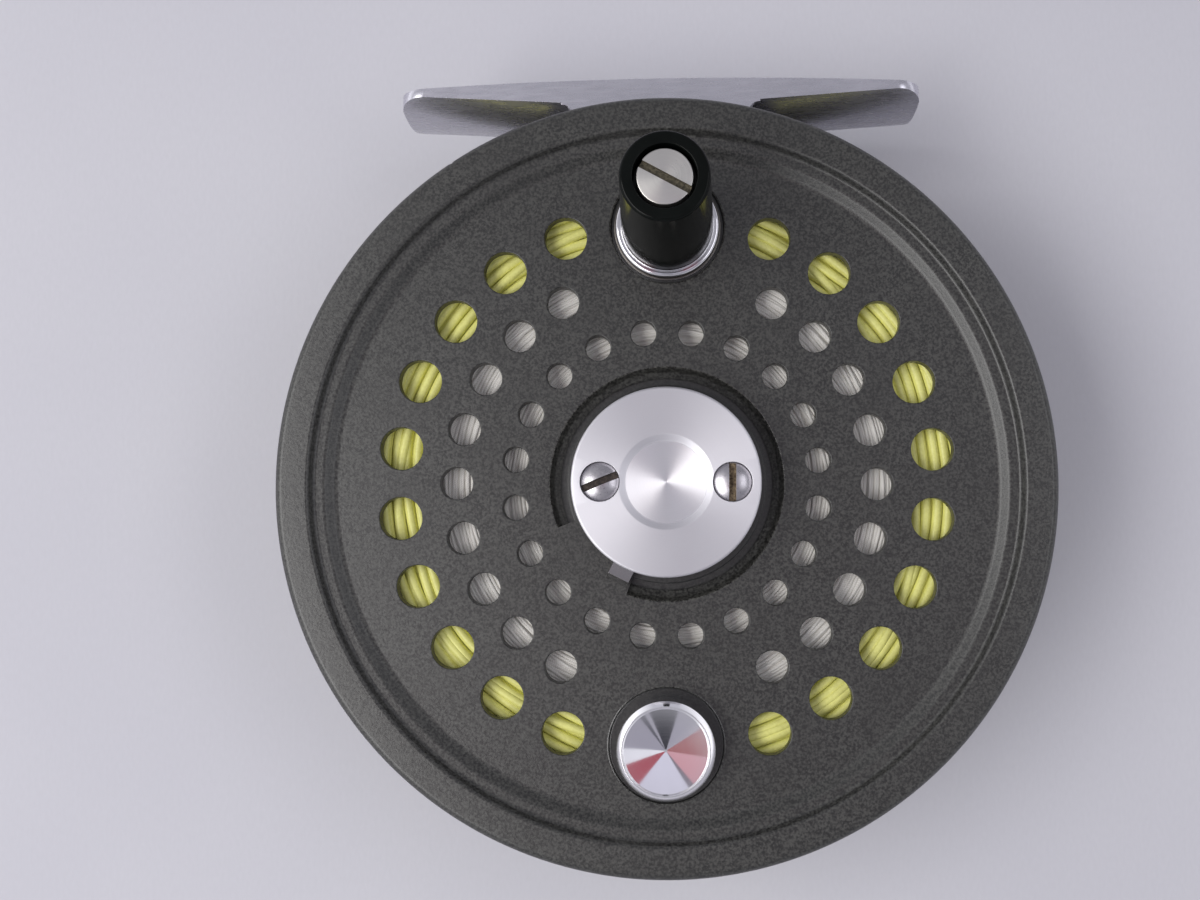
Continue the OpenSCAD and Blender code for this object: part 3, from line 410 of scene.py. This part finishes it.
def brushed_metal(name, colour, roughness, stretch=(0.12, 1, 1), size=0.12, depth=0.004, stain=0.12,
                  metallic=1.0, uneven=0.1):
    """Metal with fine marks along one direction, and a soft uneven tone"""
    look = Look(name, metallic=metallic)
    marks = look.grain(size, 3, 0.65, stretch=stretch)
    soft = look.grain(5, 3)
    tone = look.mix(look.span(marks, 0.3, 0.7), tuple(c * (1 - uneven) for c in colour), colour)
    tone = look.mix(look.span(soft, 0.4, 0.75, 0, 1), tone, tuple(c * (1 - stain) for c in colour))
    rough = look.span(marks, 0.3, 0.7, roughness * 0.8, roughness * 1.25)
    if depth:
        look.use(Normal=look.bump(marks, depth, 0.6))
    return look.use(Base_Color=tone, Roughness=rough)


def black_plastic():
    look = Look("black plastic")
    soft = look.grain(2.2, 3)
    tone = look.mix(look.span(soft, 0.3, 0.7), (0.0018, 0.0025, 0.0021), (0.0038, 0.0048, 0.0042))
    scuff = look.span(look.grain(0.16, 3, 0.7, stretch=(1, 1, 0.15)), 0.6, 0.75, 0, 0.3)
    tone = look.mix(scuff, tone, (0.014, 0.017, 0.015))
    rough = look.span(look.grain(0.35, 3, 0.6), 0.3, 0.7, 0.1, 0.2)
    return look.use(Base_Color=tone, Roughness=rough, Normal=look.bump(look.grain(0.5, 2), 0.003, 0.4),
                    Specular_IOR_Level=0.1)


def line_look(name, light, dark, roughness, grain_size, depth, sheen=0.0, pitch=None):
    """Line or cord: the colour of its lit side and the painted shade of its hollows, and its surface"""
    look = Look(name)
    uv = look.node("UVMap", uv_map="Along").outputs[0]
    patch = look.grain(2.6, 3)
    fine = look.grain(grain_size, 2, 0.6)
    tone = look.mix(look.span(patch, 0.3, 0.7), light, tuple(0.9 * a + 0.1 * b for a, b in zip(light, dark)))
    tone = look.mix(look.span(fine, 0.3, 0.75, 0, 0.25), tone, dark)
    height = fine
    if pitch:
        braid = look.node("TexWave", {"Vector": uv, "Scale": 1 / pitch, "Distortion": 0.6,
                                      "Detail": 1.0}, bands_direction="DIAGONAL").outputs["Fac"]
        # The braid's hollows are darkened towards the dark colour: painted shade
        tone = look.mix(look.span(braid, 0.1, 0.5, 0.45, 0), tone, dark)
        height = look.math("ADD", look.math("MULTIPLY", braid, 0.7), look.math("MULTIPLY", fine, 0.3))
    rough = look.span(fine, 0.3, 0.7, roughness * 0.85, roughness * 1.15)
    return look.use(Base_Color=tone, Roughness=rough, Normal=look.bump(height, depth, 0.7),
                    Sheen_Weight=sheen)


LOOKS = {
    "grey_enamel": enamel(),
    "satin_aluminium": brushed_metal("satin aluminium", (0.63, 0.62, 0.68), 0.27, size=0.4, depth=0,
                                     metallic=0.88, uneven=0.02),
    "turned_aluminium": turned_metal("turned aluminium", (0.72, 0.71, 0.745), 0.5, 0.09, 0.002, 0.5),
    "polished_steel": turned_metal("polished steel", (0.92, 0.91, 0.93), 0.09, 0.16, 0.0006, 0.8, 0.04),
    "turned_steel": turned_metal("turned steel", (0.74, 0.72, 0.68), 0.3, 0.12, 0.003, 0.6),
    "bright_steel": turned_metal("bright steel", (0.76, 0.75, 0.78), 0.09, 0.25, 0.0006, 0.0, 0.04),
    "screw_steel": brushed_metal("screw steel", (0.52, 0.5, 0.53), 0.31, (1, 1, 1), 0.3, 0.002),
    "spring_steel": brushed_metal("spring steel", (0.45, 0.47, 0.52), 0.3),
    "brass": brushed_metal("brass", (0.72, 0.5, 0.2), 0.28, (1, 0.3, 1), 0.2),
    "black_grip": black_plastic(),
    "white_backing": line_look("white backing", (0.92, 0.9, 0.86), (0.52, 0.5, 0.45), 0.8, 0.12, 0.02,
                               0.15, 0.45),
    "yellow_line": line_look("yellow line", (0.9, 0.89, 0.29), (0.47, 0.44, 0.08), 0.4, 0.35, 0.008),
}
# The dimple's lighter colour is a painted highlight; its lower roughness and stronger anisotropy are its
# finer turned finish
DIMPLE_HIGHLIGHT_LOOK = turned_metal("turned dimple with painted highlight", (0.96, 0.95, 0.97), 0.37, 0.09, 0.002, 0.82)
LATCH_LOOK = brushed_metal("worn latch", (0.3, 0.29, 0.28), 0.15, (1, 1, 1), 0.4, 0.001, 0.05)
# Dark steel for the side of the handle plate's step: a painted reflection of the dark enamel face
PAINTED_REFLECTION_STEEL = turned_metal("painted reflection steel", (0.13, 0.12, 0.11), 0.3, 0.12, 0.002, 0.3)
# Darker enamel for the floors of the groove and the recesses: painted shade
PAINTED_SHADE_ENAMEL = enamel("painted shade enamel", 0.35)
# Lighter, glossier enamel for the edges: partly wear, partly a painted highlight
WORN_HIGHLIGHT_ENAMEL = enamel("worn enamel with painted highlight", 1.7, 2.4)
# The slots' dark tones are painted shade, and their brown and olive tints painted reflections
SLOT_LOOKS = [
    painted_slot_shade("dark slot", (0.1, 0.075, 0.065), (0.02, 0.016, 0.015)),
    painted_slot_shade("brown slot", (0.36, 0.28, 0.17), (0.06, 0.038, 0.024)),
    painted_slot_shade("olive slot", (0.14, 0.12, 0.08), (0.028, 0.025, 0.015)),
]


# ---------------------------------------------------------------- spool front

def hole_places():
    """Radius of each hole of the face, and its place. The outer two rings leave out the handle and the
    counterweight"""
    rings = []
    for side in (0, 180):
        rings += [(2.5, 31.5, side + (i - 4.5) * 15) for i in range(10)]
        rings += [(1.9, 24.7, side + (i - 4) * 15) for i in range(9)]
    rings += [(1.5, 18.0, (i + 0.5) * 18) for i in range(20)]
    return [(r, (ring * math.cos(math.radians(a)), ring * math.sin(math.radians(a))))
            for r, ring, a in rings]


def face_section():
    """Outline of the face, its exposed rim, the groove round the hub and the boss, as (r, z, rounding)"""
    rim_top, rim_low = face_z + 1.7, face_z - 7.5
    groove_z = face_z - 0.9
    rear_z = face_z - 1.5
    hub_rear_z = face_z - 2.1
    boss_r, boss_bore_r = 10.4, 9.4
    boss_floor = face_z + 0.4
    return filleted([
        (4.54, hub_rear_z, 0), (7.02, hub_rear_z, 0), (7.02, hub_rear_z - 2, 0),
        (10.78, hub_rear_z - 2, 0), (10.78, hub_rear_z, 0), (14.6, hub_rear_z, 0.1), (15.2, rear_z, 0.1),
        (40.3, rear_z, 0.1), (41.7, rear_z + 1.6, 0.2), (43.4, rear_z + 1.6, 0.2),
        (43.4, rim_low, 0.15), (45.7, rim_low, 0.6), (45.7, rim_top, 0.95), (41.8, rim_top, 0.5),
        (41.3, face_z + 0.765, 0.5), (40.1, face_z + 0.765, 0.9), (39.0, face_z, 1.3),
        (13.8, face_z, 0.3), (13.3, face_z - 0.55, 0.8), (12.4, groove_z, 0.9), (11.65, groove_z, 0.1),
        (11.65, face_z - 0.2, 0.12), (boss_r, face_z - 0.2, 0.05), (boss_r, boss_top, 0.15),
        (boss_bore_r, boss_top, 0), (boss_bore_r, boss_floor, 0), (3.3, boss_floor, 0),
        (3.3, face_z - 1.2, 0), (4.54, face_z - 1.2, 0),
    ])


def crank_recess(y):
    """Cutter for the recess under the grip or the counterweight, and its riveted hole"""
    wall = flare(recess_r, 0.22, face_z)
    rivet = [(0, 25.9), (3.18, 25.9), (2.04, 26.75), (rivet_r, 26.8), (rivet_r, recess_z)]
    corner = [(6.45, recess_z), (6.63, recess_z + 0.07), (recess_r, recess_z + 0.22)]
    above = face_z + 1
    return lathe([*rivet, *corner, *wall, (wall[-1][0], above), (0, above)], (0, y), 128)


def rim_nick(angle, depth, half):
    """Cutter for a small knock in the rim's outer edge, at an angle clockwise from +Y"""
    a = math.radians(90 - angle)
    reach = rim_r - depth + half
    return rod(half, face_z + 0.1, 30, (reach * math.cos(a), reach * math.sin(a)), 7)


def spool_front():
    """The enamelled face with its exposed rim, holes, recesses and boss"""
    front = solid("spool_front", lathe(face_section(), segments=384))
    screw_xs = (-cover_screw_x, cover_screw_x)
    islands = [rod(1.75, face_z + 0.3, boss_top, (x, 0)) for x in screw_xs]
    land_r = 13.95
    land = ring_sector(10.3, land_r, 200, 248, face_z - 1.2, face_z)
    combine(front, "UNION", *islands, land)
    cuts = [hole_cutter(r, 0.13, 25.0, face_z, at) for r, at in hole_places()]
    cuts += [crank_recess(crank_r), crank_recess(-crank_r)]
    cuts += [rod(cover_screw_r, 25.2, boss_top + 0.1, (x, 0)) for x in screw_xs]
    latch_pin_hole = rod(0.8, 25.8, 28, (5.3, 5.6))
    latch_window = ring_sector(8.2, 10.6, 197, 232, face_z + 0.4, boss_top + 0.1)
    cuts += [latch_pin_hole, latch_window]
    nicks = [(-34, 0.28, 0.4), (39, 0.16, 0.5), (62, 0.12, 0.3), (-121, 0.1, 0.35)]
    cuts += [rim_nick(*nick) for nick in nicks]
    combine(front, "DIFFERENCE", *cuts)
    crank_ends = [Vector((0, crank_r)), Vector((0, -crank_r))]

    def in_painted_shade(p):
        """Floors of the groove and of the recesses, whose enamel is darkened as painted shade"""
        sunk = recess_z - 0.5 < p.z < face_z - 0.02
        off_end = min((p.to_2d() - end).length for end in crank_ends)
        return sunk and (p.to_2d().length < 12.6 or off_end < recess_r + 0.02)

    def on_worn_highlit_edge(p):
        """Edges of the groove and of the recesses, whose lighter enamel is partly wear and partly a painted
        highlight
        """
        edge = recess_z + 0.25 < p.z < face_z - 0.003
        off_end = min((p.to_2d() - end).length for end in crank_ends)
        on_recess = recess_r + 0.02 < off_end < recess_r + 0.25
        return edge and (13.6 < p.to_2d().length < land_r or on_recess)

    # Painted shade: darker enamel on the floors of the groove and the recesses
    paint(front, 1, in_painted_shade)
    # Lighter enamel on the edges: partly wear, partly a painted highlight
    paint(front, 2, on_worn_highlit_edge)
    place(front, "spool", "grey_enamel", "spool_face", looks=[PAINTED_SHADE_ENAMEL, WORN_HIGHLIGHT_ENAMEL])


spool_front()


# ---------------------------------------------------------------- hub

def cover():
    """Turned disc over the hub, with a dimple in its middle"""
    dimple_r = 4.7
    section = filleted([
        (0, boss_top, 0), (10.8, boss_top, 0.2), (10.8, cover_top, 0.3), (5.4, cover_top, 0.4),
        (dimple_r, cover_top - 0.38, 0.4), (0, cover_top - 0.7, 0),
    ])
    disc = solid("hub_cover_disc", lathe(section, segments=256))
    seats = [hole_cutter(2.25, 0.06, cover_top - 1.2, cover_top, (x, 0), stem=(cover_screw_r, boss_top - 0.1))
             for x in (-cover_screw_x, cover_screw_x)]
    combine(disc, "DIFFERENCE", *seats)
    # The dimple gets the lighter look, whose colour is a painted highlight
    paint(disc, 1, lambda p: p.z > cover_top - 1.2 and p.to_2d().length < dimple_r - 0.1)
    place(disc, "spool", "turned_aluminium", "hub_cover", looks=[DIMPLE_HIGHLIGHT_LOOK])


def cover_screw(name, x, slot_angle, slot_look):
    """Screw with a domed, slotted head"""
    angle = math.radians(slot_angle)
    head_r, dome_h, dome_top = 2.15, 0.6, cover_top + 0.2
    sphere_r = (head_r ** 2 + dome_h ** 2) / (2 * dome_h)
    rise = math.asin(head_r / sphere_r)
    tilts = [rise * (1 - k / 12) for k in range(13)]
    dome = [(sphere_r * math.sin(t), dome_top - sphere_r * (1 - math.cos(t))) for t in tilts]
    shank_r, foot_z, seat_z = 0.92, bottom_of("cover_screws"), cover_top - 1.2
    head = solid(name, lathe([
        (0, foot_z), (shank_r, foot_z), (shank_r, seat_z), (head_r - 0.05, seat_z), (head_r, seat_z + 0.05),
        *dome,
    ], segments=96))
    combine(head, "DIFFERENCE", slot_cutter(angle, 3, dome_top - 0.8, dome_top + 0.6))
    paint(head, 1, lambda p: off_slot(p, angle) < slot_half + 0.01
          and dome_top - 1.1 < p.z < dome_top - 0.02 - 0.1 * along_slot(p, angle))
    edge = head.modifiers.new("edge", "BEVEL")
    edge.width, edge.segments, edge.angle_limit = 0.06 * MM, 2, math.radians(40)
    place(head, "spool", "screw_steel", "cover_screws", UNTURNED @ Vector((x, 0, 0)), [slot_look])


cover()
cover_screw("cover_screw_1", -cover_screw_x, 22.6, SLOT_LOOKS[0])
cover_screw("cover_screw_2", cover_screw_x, 90, SLOT_LOOKS[1])


# ---------------------------------------------------------------- handle and counterweight

def handle_plate():
    """Stepped bright plate between the face and the grip"""
    low, high = recess_z, top_of("handle_plate")
    plate = solid("handle_plate_turned", lathe(filleted([
        (rivet_r, low, 0), (6.36, low, 0.05), (6.36, low + 0.4, 0.1), (6.15, low + 0.42, 0.06),
        (6.15, high, 0.4), (rivet_r, high, 0),
    ]), segments=160))
    # The step's side is painted dark: a painted reflection of the dark enamel face
    paint(plate, 1, lambda p: low + 0.38 < p.z < low + 0.88)
    place(plate, "spool", "bright_steel", "handle_plate", handle_at, [PAINTED_REFLECTION_STEEL])


def handle_washer():
    low, high = bottom_of("handle_washer"), top_of("handle_washer")
    washer = solid("handle_washer_thin", lathe(filleted([
        (rivet_r, low, 0), (5.55, low, 0.05), (5.55, high, 0.12), (rivet_r, high, 0),
    ]), segments=128))
    place(washer, "spool", "bright_steel", "handle_washer", handle_at)


def handle_grip():
    """Tapered grip, with a recess for the screw's head at its end"""
    low, high = bottom_of("handle_grip"), top_of("handle_grip")
    bore_r, head_recess_r, head_seat_z = 2.62, 3.35, high - 2.4
    grip = solid("handle_grip_tapered", lathe(filleted([
        (bore_r, low, 0.1), (5.45, low, 0.45), (4.7, high, 0.4), (head_recess_r, high, 0.12),
        (head_recess_r, head_seat_z, 0.05), (bore_r, head_seat_z, 0.05),
    ], 6), segments=160))
    place(grip, "handle", "black_grip", "handle_grip", handle_at)


def handle_screw():
    """Screw with a flat slotted head, sunk in the grip's end"""
    low, high = bottom_of("handle_screw"), top_of("handle_screw")
    angle = math.radians(-28)
    shank_r, head_r, head_z = 0.98, 2.93, high - 2.03
    screw = solid("handle_screw_flat", lathe(filleted([
        (0, low, 0), (shank_r, low, 0), (shank_r, head_z, 0), (head_r, head_z, 0.1), (head_r, high, 0.12),
        (0, high, 0),
    ]), segments=128))
    combine(screw, "DIFFERENCE", slot_cutter(angle, 4, high - 0.7, high + 0.85))
    paint(screw, 1, lambda p: high - 1.15 < p.z < high - 0.1 and off_slot(p, angle) < slot_half + 0.01)
    place(screw, "spool", "turned_steel", "handle_screw", handle_at, [SLOT_LOOKS[2]])


def counterweight():
    """Riveted round weight with a chamfer and a shallow dished face"""
    low, high = bottom_of("counterweight"), top_of("counterweight")
    dish_z = high - 0.75
    weight = solid("counterweight_turned", lathe(filleted([
        (0, low, 0), (3, low, 0), (2, low + 0.75, 0), (2, recess_z, 0), (5.65, recess_z, 0.05),
        (5.65, high - 0.55, 0.08), (5.1, high, 0.06), (4.95, high, 0.04), (4.8, high - 0.25, 0.06),
        (0.25, dish_z + 0.026, 0), (0, dish_z, 0),
    ]), segments=192))
    place(weight, "spool", "polished_steel", "counterweight", weight_at)


handle_plate()
handle_washer()
handle_grip()
handle_screw()
counterweight()


# ---------------------------------------------------------------- wound line

def wander(rng, reach, slowest, fastest):
    """Smooth closed wave round the spool, up to about reach either way"""
    parts = [(rng.uniform(0.4, 1), rng.randint(slowest, fastest), rng.uniform(0, TAU)) for _ in range(4)]
    total = sum(p[0] for p in parts)

    def at(angle):
        return reach * sum(p[0] * np.sin(p[1] * angle + p[2]) for p in parts) / total * 1.6
    return at


def together(*waves):
    return lambda angle: sum(wave(angle) for wave in waves)


def strand(loop, sides, steps, first):
    """Tube of one loop of line: its points, its faces, which count from first, and each face corner's
    distance along and round the strand"""
    r, z, half, side_wave, rise_wave = loop
    angle = np.linspace(0, TAU, steps, endpoint=False)
    turn = np.linspace(0, TAU, sides, endpoint=False)
    ring_r = (r + side_wave(angle))[:, None] + half * np.cos(turn)[None, :]
    ring_z = (z + rise_wave(angle))[:, None] + half * np.sin(turn)[None, :]
    x = ring_r * np.cos(angle)[:, None]
    y = ring_r * np.sin(angle)[:, None]
    verts = np.stack([x, y, ring_z], -1).reshape(-1, 3).tolist()
    faces, along = [], []
    for i in range(steps):
        a, b = first + i * sides, first + ((i + 1) % steps) * sides
        u0, u1 = r * TAU * i / steps, r * TAU * (i + 1) / steps
        for k in range(sides):
            j = (k + 1) % sides
            v0, v1 = half * TAU * k / sides, half * TAU * (k + 1) / sides
            faces.append((a + k, b + k, b + j, a + j))
            along += [(u0, v0), (u1, v0), (u1, v1), (u0, v1)]
    return verts, faces, along


def winding(name, loops, sides, steps, slot, replaced, core):
    """Loops of line round the spool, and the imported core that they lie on. Each loop is (radius, height,
    half thickness, radial wander, height wander)"""
    verts, faces, along = [], [], []
    for loop in loops:
        loop_verts, loop_faces, loop_along = strand(loop, sides, steps, len(verts))
        verts += loop_verts
        faces += loop_faces
        along += loop_along
    core_verts, core_faces = lathe(core, segments=128)
    faces += [tuple(len(verts) + i for i in face) for face in core_faces]
    verts += core_verts
    along += [(0, 0)] * sum(len(face) for face in core_faces)
    mesh = bpy.data.meshes.new(name)
    mesh.from_pydata(verts, [], faces)
    layer = mesh.uv_layers.new(name="Along")
    layer.data.foreach_set("uv", np.array(along, np.float32).ravel())
    face_outwards(mesh)
    mesh.transform(Matrix.Scale(MM, 4))
    mesh.materials.append(LOOKS[slot])
    mesh.shade_smooth()
    hand_over(add_object(name, mesh), "spool", slot, replaced)


def fly_line():
    """Thick line: two rows of turns and two crossing turns at each end, and one layer round the outside"""
    rng = random.Random(5)
    low, high = bottom_of("fly_line"), top_of("fly_line")
    half = 0.6
    backing_r = 27.5
    inner, outer = backing_r + half + 0.5, radius_of("fly_line") - half - 0.1
    loops = []
    count = 7
    for end, way in ((high, -1), (low, 1)):
        drift = wander(rng, 0.42, 3, 8)
        for row in (0, 1):
            for i in range(count - row):
                r = inner + (outer - inner) * (i + row / 2) / (count - 1)
                z = end + way * (half + 0.28 + row * 0.95)
                own = wander(rng, 0.12, 3, 9)
                outermost = i + row == count - 1
                loops.append((r, z, half, own if outermost else together(drift, own),
                              wander(rng, 0.12, 2, 6)))
        for i in range(2):
            r = inner + (outer - inner) * (i + 0.9) / 2.6
            loops.append((r, end + way * (half + 0.04), half * 0.97, wander(rng, 1.5, 1, 3),
                          wander(rng, 0.03, 2, 5)))
    rows = 12
    for i in range(1, rows - 1):
        z = low + half + (high - low - 2 * half) * i / (rows - 1)
        loops.append((outer, z, half + 0.06, wander(rng, 0.03, 2, 6), wander(rng, 0.3, 1, 4)))
    core_in, core_out, sunk = backing_r + 0.1, outer - 0.2, 1.1
    core = [(core_in, low + sunk), (core_out, low + sunk), (core_out, high - sunk), (core_in, high - sunk)]
    winding("fly_line_wound", loops, 12, 240, "yellow_line", "fly_line", core)


def backing():
    """Thin braided line: one layer of turns at each end, with crossing turns over it"""
    rng = random.Random(9)
    low, high = bottom_of("backing"), top_of("backing")
    half = 0.23
    hub_r = 12.4
    inner, outer = hub_r + 0.05 + half, radius_of("backing") - half
    loops = []
    count, crossings, margin = 38, 9, 1.2
    for end, way in ((high, -1), (low, 1)):
        drift = wander(rng, 0.35, 3, 9)
        for i in range(count):
            r = inner + (outer - inner) * i / (count - 1)
            loose = margin < r - inner < outer - inner - margin
            own = wander(rng, 0.1 if loose else 0.02, 3, 11)
            loops.append((r, end + way * (half + 0.22), half, together(drift, own) if loose else own,
                          wander(rng, 0.05, 2, 9)))
        for i in range(crossings):
            r = inner + 1.4 + (outer - inner - 2.8) * i / (crossings - 1)
            loops.append((r, end + way * (half + 0.05), half, wander(rng, 0.9, 1, 4),
                          wander(rng, 0.03, 2, 9)))
    core_out, sunk = 27.3, 0.42
    core = [(hub_r, low + sunk), (core_out, low + sunk), (core_out, high - sunk), (hub_r, high - sunk)]
    winding("backing_wound", loops, 7, 220, "white_backing", "backing", core)


fly_line()
backing()


# ---------------------------------------------------------------- carried-over CAD nodes

def keep(slot, edge, *names, look=None):
    """Gives CAD nodes their look, with a small rounding on their edges"""
    for name in names:
        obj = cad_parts[name]
        obj.data.materials.clear()
        obj.data.materials.append(look or LOOKS[slot])
        weld = obj.modifiers.new("weld", "WELD")
        weld.merge_threshold = 0.01 * MM
        rounding = obj.modifiers.new("edge", "BEVEL")
        rounding.width = edge * MM
        rounding.segments = 2
        rounding.angle_limit = math.radians(35)
        rounding.use_clamp_overlap = True
        normals = obj.modifiers.new("even shading", "WEIGHTED_NORMAL")
        normals.weight = 90


keep("grey_enamel", 0.15, "back_plate", "front_ring", "pillars", "foot_bridge", "spool_arbor",
     "spool_rear_flange")
keep("satin_aluminium", 0.12, "foot")
keep("screw_steel", 0.05, "rear_frame_screws", "front_frame_screws", "foot_screws", "spindle_nut",
     "spring_block_screws", "regulator_screw", "gear_screws")
keep("screw_steel", 0.45, "latch_lever", look=LATCH_LOOK)
keep("turned_steel", 0.05, "spindle", "spindle_washer", "pawl_studs", "slide_posts", "latch_pin",
     "handle_spindle", "tension_slide", "active_pawl", "spare_pawl")
keep("spring_steel", 0.03, "check_spring", "pawl_clips", "latch_spring")
keep("brass", 0.05, "spring_block", "click_washer", "regulator_cam", "ratchet_gear", "spool_bush",
     "grip_bush")
keep("bright_steel", 0.08, "regulator_knob")


# ---------------------------------------------------------------- stage

def stage():
    """Pale cloth floor just under the object"""
    mesh = bpy.data.meshes.new("floor")
    shape = bmesh.new()
    bmesh.ops.create_grid(shape, x_segments=8, y_segments=8, size=3)
    shape.to_mesh(mesh)
    shape.free()
    floor = add_object("floor", mesh)
    floor.location.z = cad_low.z - 0.1 * MM
    look = Look("pale floor", roughness=0.85)
    weave = look.grain(0.5, 3, 0.6, stretch=(1, 0.4, 1))
    tone = look.mix(look.span(look.grain(60, 2), 0.35, 0.65), (0.59, 0.586, 0.632), (0.615, 0.611, 0.652))
    tone = look.mix(look.span(weave, 0.3, 0.7, 0, 0.2), tone, (0.52, 0.515, 0.555))
    mesh.materials.append(look.use(Base_Color=tone, Specular_IOR_Level=0.2))


def ring_of_cards(nodes, x, y, z):
    """How much of each direction the ring of cards round the camera covers, and the cards' colours"""
    over_x = nodes.math("ADD", nodes.math("DIVIDE", x, z), 0.012)
    over_y = nodes.math("ADD", nodes.math("DIVIDE", y, z), 0.185)
    reach = nodes.math("SQRT", nodes.math("ADD", nodes.math("MULTIPLY", over_x, over_x),
                                          nodes.math("MULTIPLY", over_y, over_y)))
    ring = nodes.math("MULTIPLY", nodes.span(reach, 0.13, 0.16), nodes.span(reach, 0.27, 0.32, 1, 0))
    ring = nodes.math("MULTIPLY", ring, nodes.span(z, 0.5, 0.6))
    turn = nodes.math("ARCTAN2", nodes.math("MULTIPLY", over_x, -1), nodes.math("MULTIPLY", over_y, -1))
    cards = nodes.node("ValToRGB", {"Fac": nodes.math("ADD", nodes.math("DIVIDE", turn, TAU), 0.5)})
    cards.color_ramp.interpolation = "CONSTANT"
    white, black, slate = (0.68, 0.67, 0.8), (0.016, 0.016, 0.025), (0.06, 0.06, 0.08)
    # Each card reaches from its angle in degrees to the next one's
    starts = [
        (-180, white), (-142, (0.4, 0.09, 0.12)), (-108, (0.85, 0.85, 0.93)), (-84, (0.34, 0.33, 0.4)),
        (-34, slate), (-28, (0.4, 0.39, 0.46)), (-20, black), (18, (0.36, 0.35, 0.42)),
        (56, (0.33, 0.1, 0.11)), (96, (0.62, 0.33, 0.38)), (138, (0.2, 0.18, 0.22)), (147, white),
    ]
    for k, (angle, shade) in enumerate(starts):
        position = 0.5 + angle / 360
        ramp = cards.color_ramp.elements
        stop = ramp[k] if k < 2 else ramp.new(position)
        stop.position, stop.color = position, (*shade, 1)
    return ring, cards.outputs[0]


def surroundings():
    """Soft light from all round: bright walls, a plain ceiling, and a ring of cards for bright metal to
    mirror"""
    world = bpy.data.worlds.new("studio")
    bpy.context.scene.world = world
    world.use_nodes = True
    nodes = Nodes(world.node_tree)
    way = nodes.node("TexCoord").outputs["Generated"]
    x, y, z = nodes.node("SeparateXYZ", {"Vector": way}).outputs
    across = nodes.span(x, -0.6, 0.6)
    ceiling = nodes.mix(across, (0.52, 0.52, 0.56), (0.32, 0.32, 0.36))
    walls = nodes.mix(across, (1.6, 1.6, 1.64), (1.2, 1.2, 1.26))
    walls = nodes.mix(nodes.span(nodes.math("ABSOLUTE", x), 0.3, 0.95), (0.55, 0.55, 0.62), walls)
    tone = nodes.mix(nodes.span(z, 0.12, 0.45), walls, ceiling)
    ring, cards = ring_of_cards(nodes, x, y, z)
    tone = nodes.mix(ring, tone, cards)
    nodes.set(world.node_tree.nodes["Background"], {"Color": tone, "Strength": 1.0})


def area_light(name, spot, size, power, colour):
    """Rectangular light, aimed at the object. The second size is the one that tilts towards it"""
    data = bpy.data.lights.new(name, "AREA")
    data.shape = "RECTANGLE"
    data.size, data.size_y = size
    data.energy = power
    data.color = colour
    light = add_object(name, data)
    light.location = spot
    aim = Vector((0, 0, 0.02)) - Vector(spot)
    light.rotation_euler = aim.to_track_quat("-Z", "Y").to_euler()


def lights():
    bpy.context.scene.view_settings.view_transform = "Standard"
    area_light("window", (-0.34, -0.09, 0.5), (0.52, 0.24), 2.15, (1, 0.99, 0.98))
    area_light("wall", (0.36, 0.03, 0.5), (0.4, 0.16), 0.42, (0.96, 0.96, 1))


def camera():
    """Close above the reel, nearly straight down"""
    data = bpy.data.cameras.new("camera")
    data.sensor_width = 36
    data.lens = 35.01
    data.shift_x = -0.06584
    data.shift_y = 0.02769
    data.clip_start = 0.01
    seen = add_object("camera", data)
    seen.location = (0.001741, -0.005876, 0.16449)
    seen.rotation_euler = [math.radians(a) for a in (2.4722, 0.1749, -1.0256)]
    bpy.context.scene.camera = seen


stage()
surroundings()
lights()
camera()
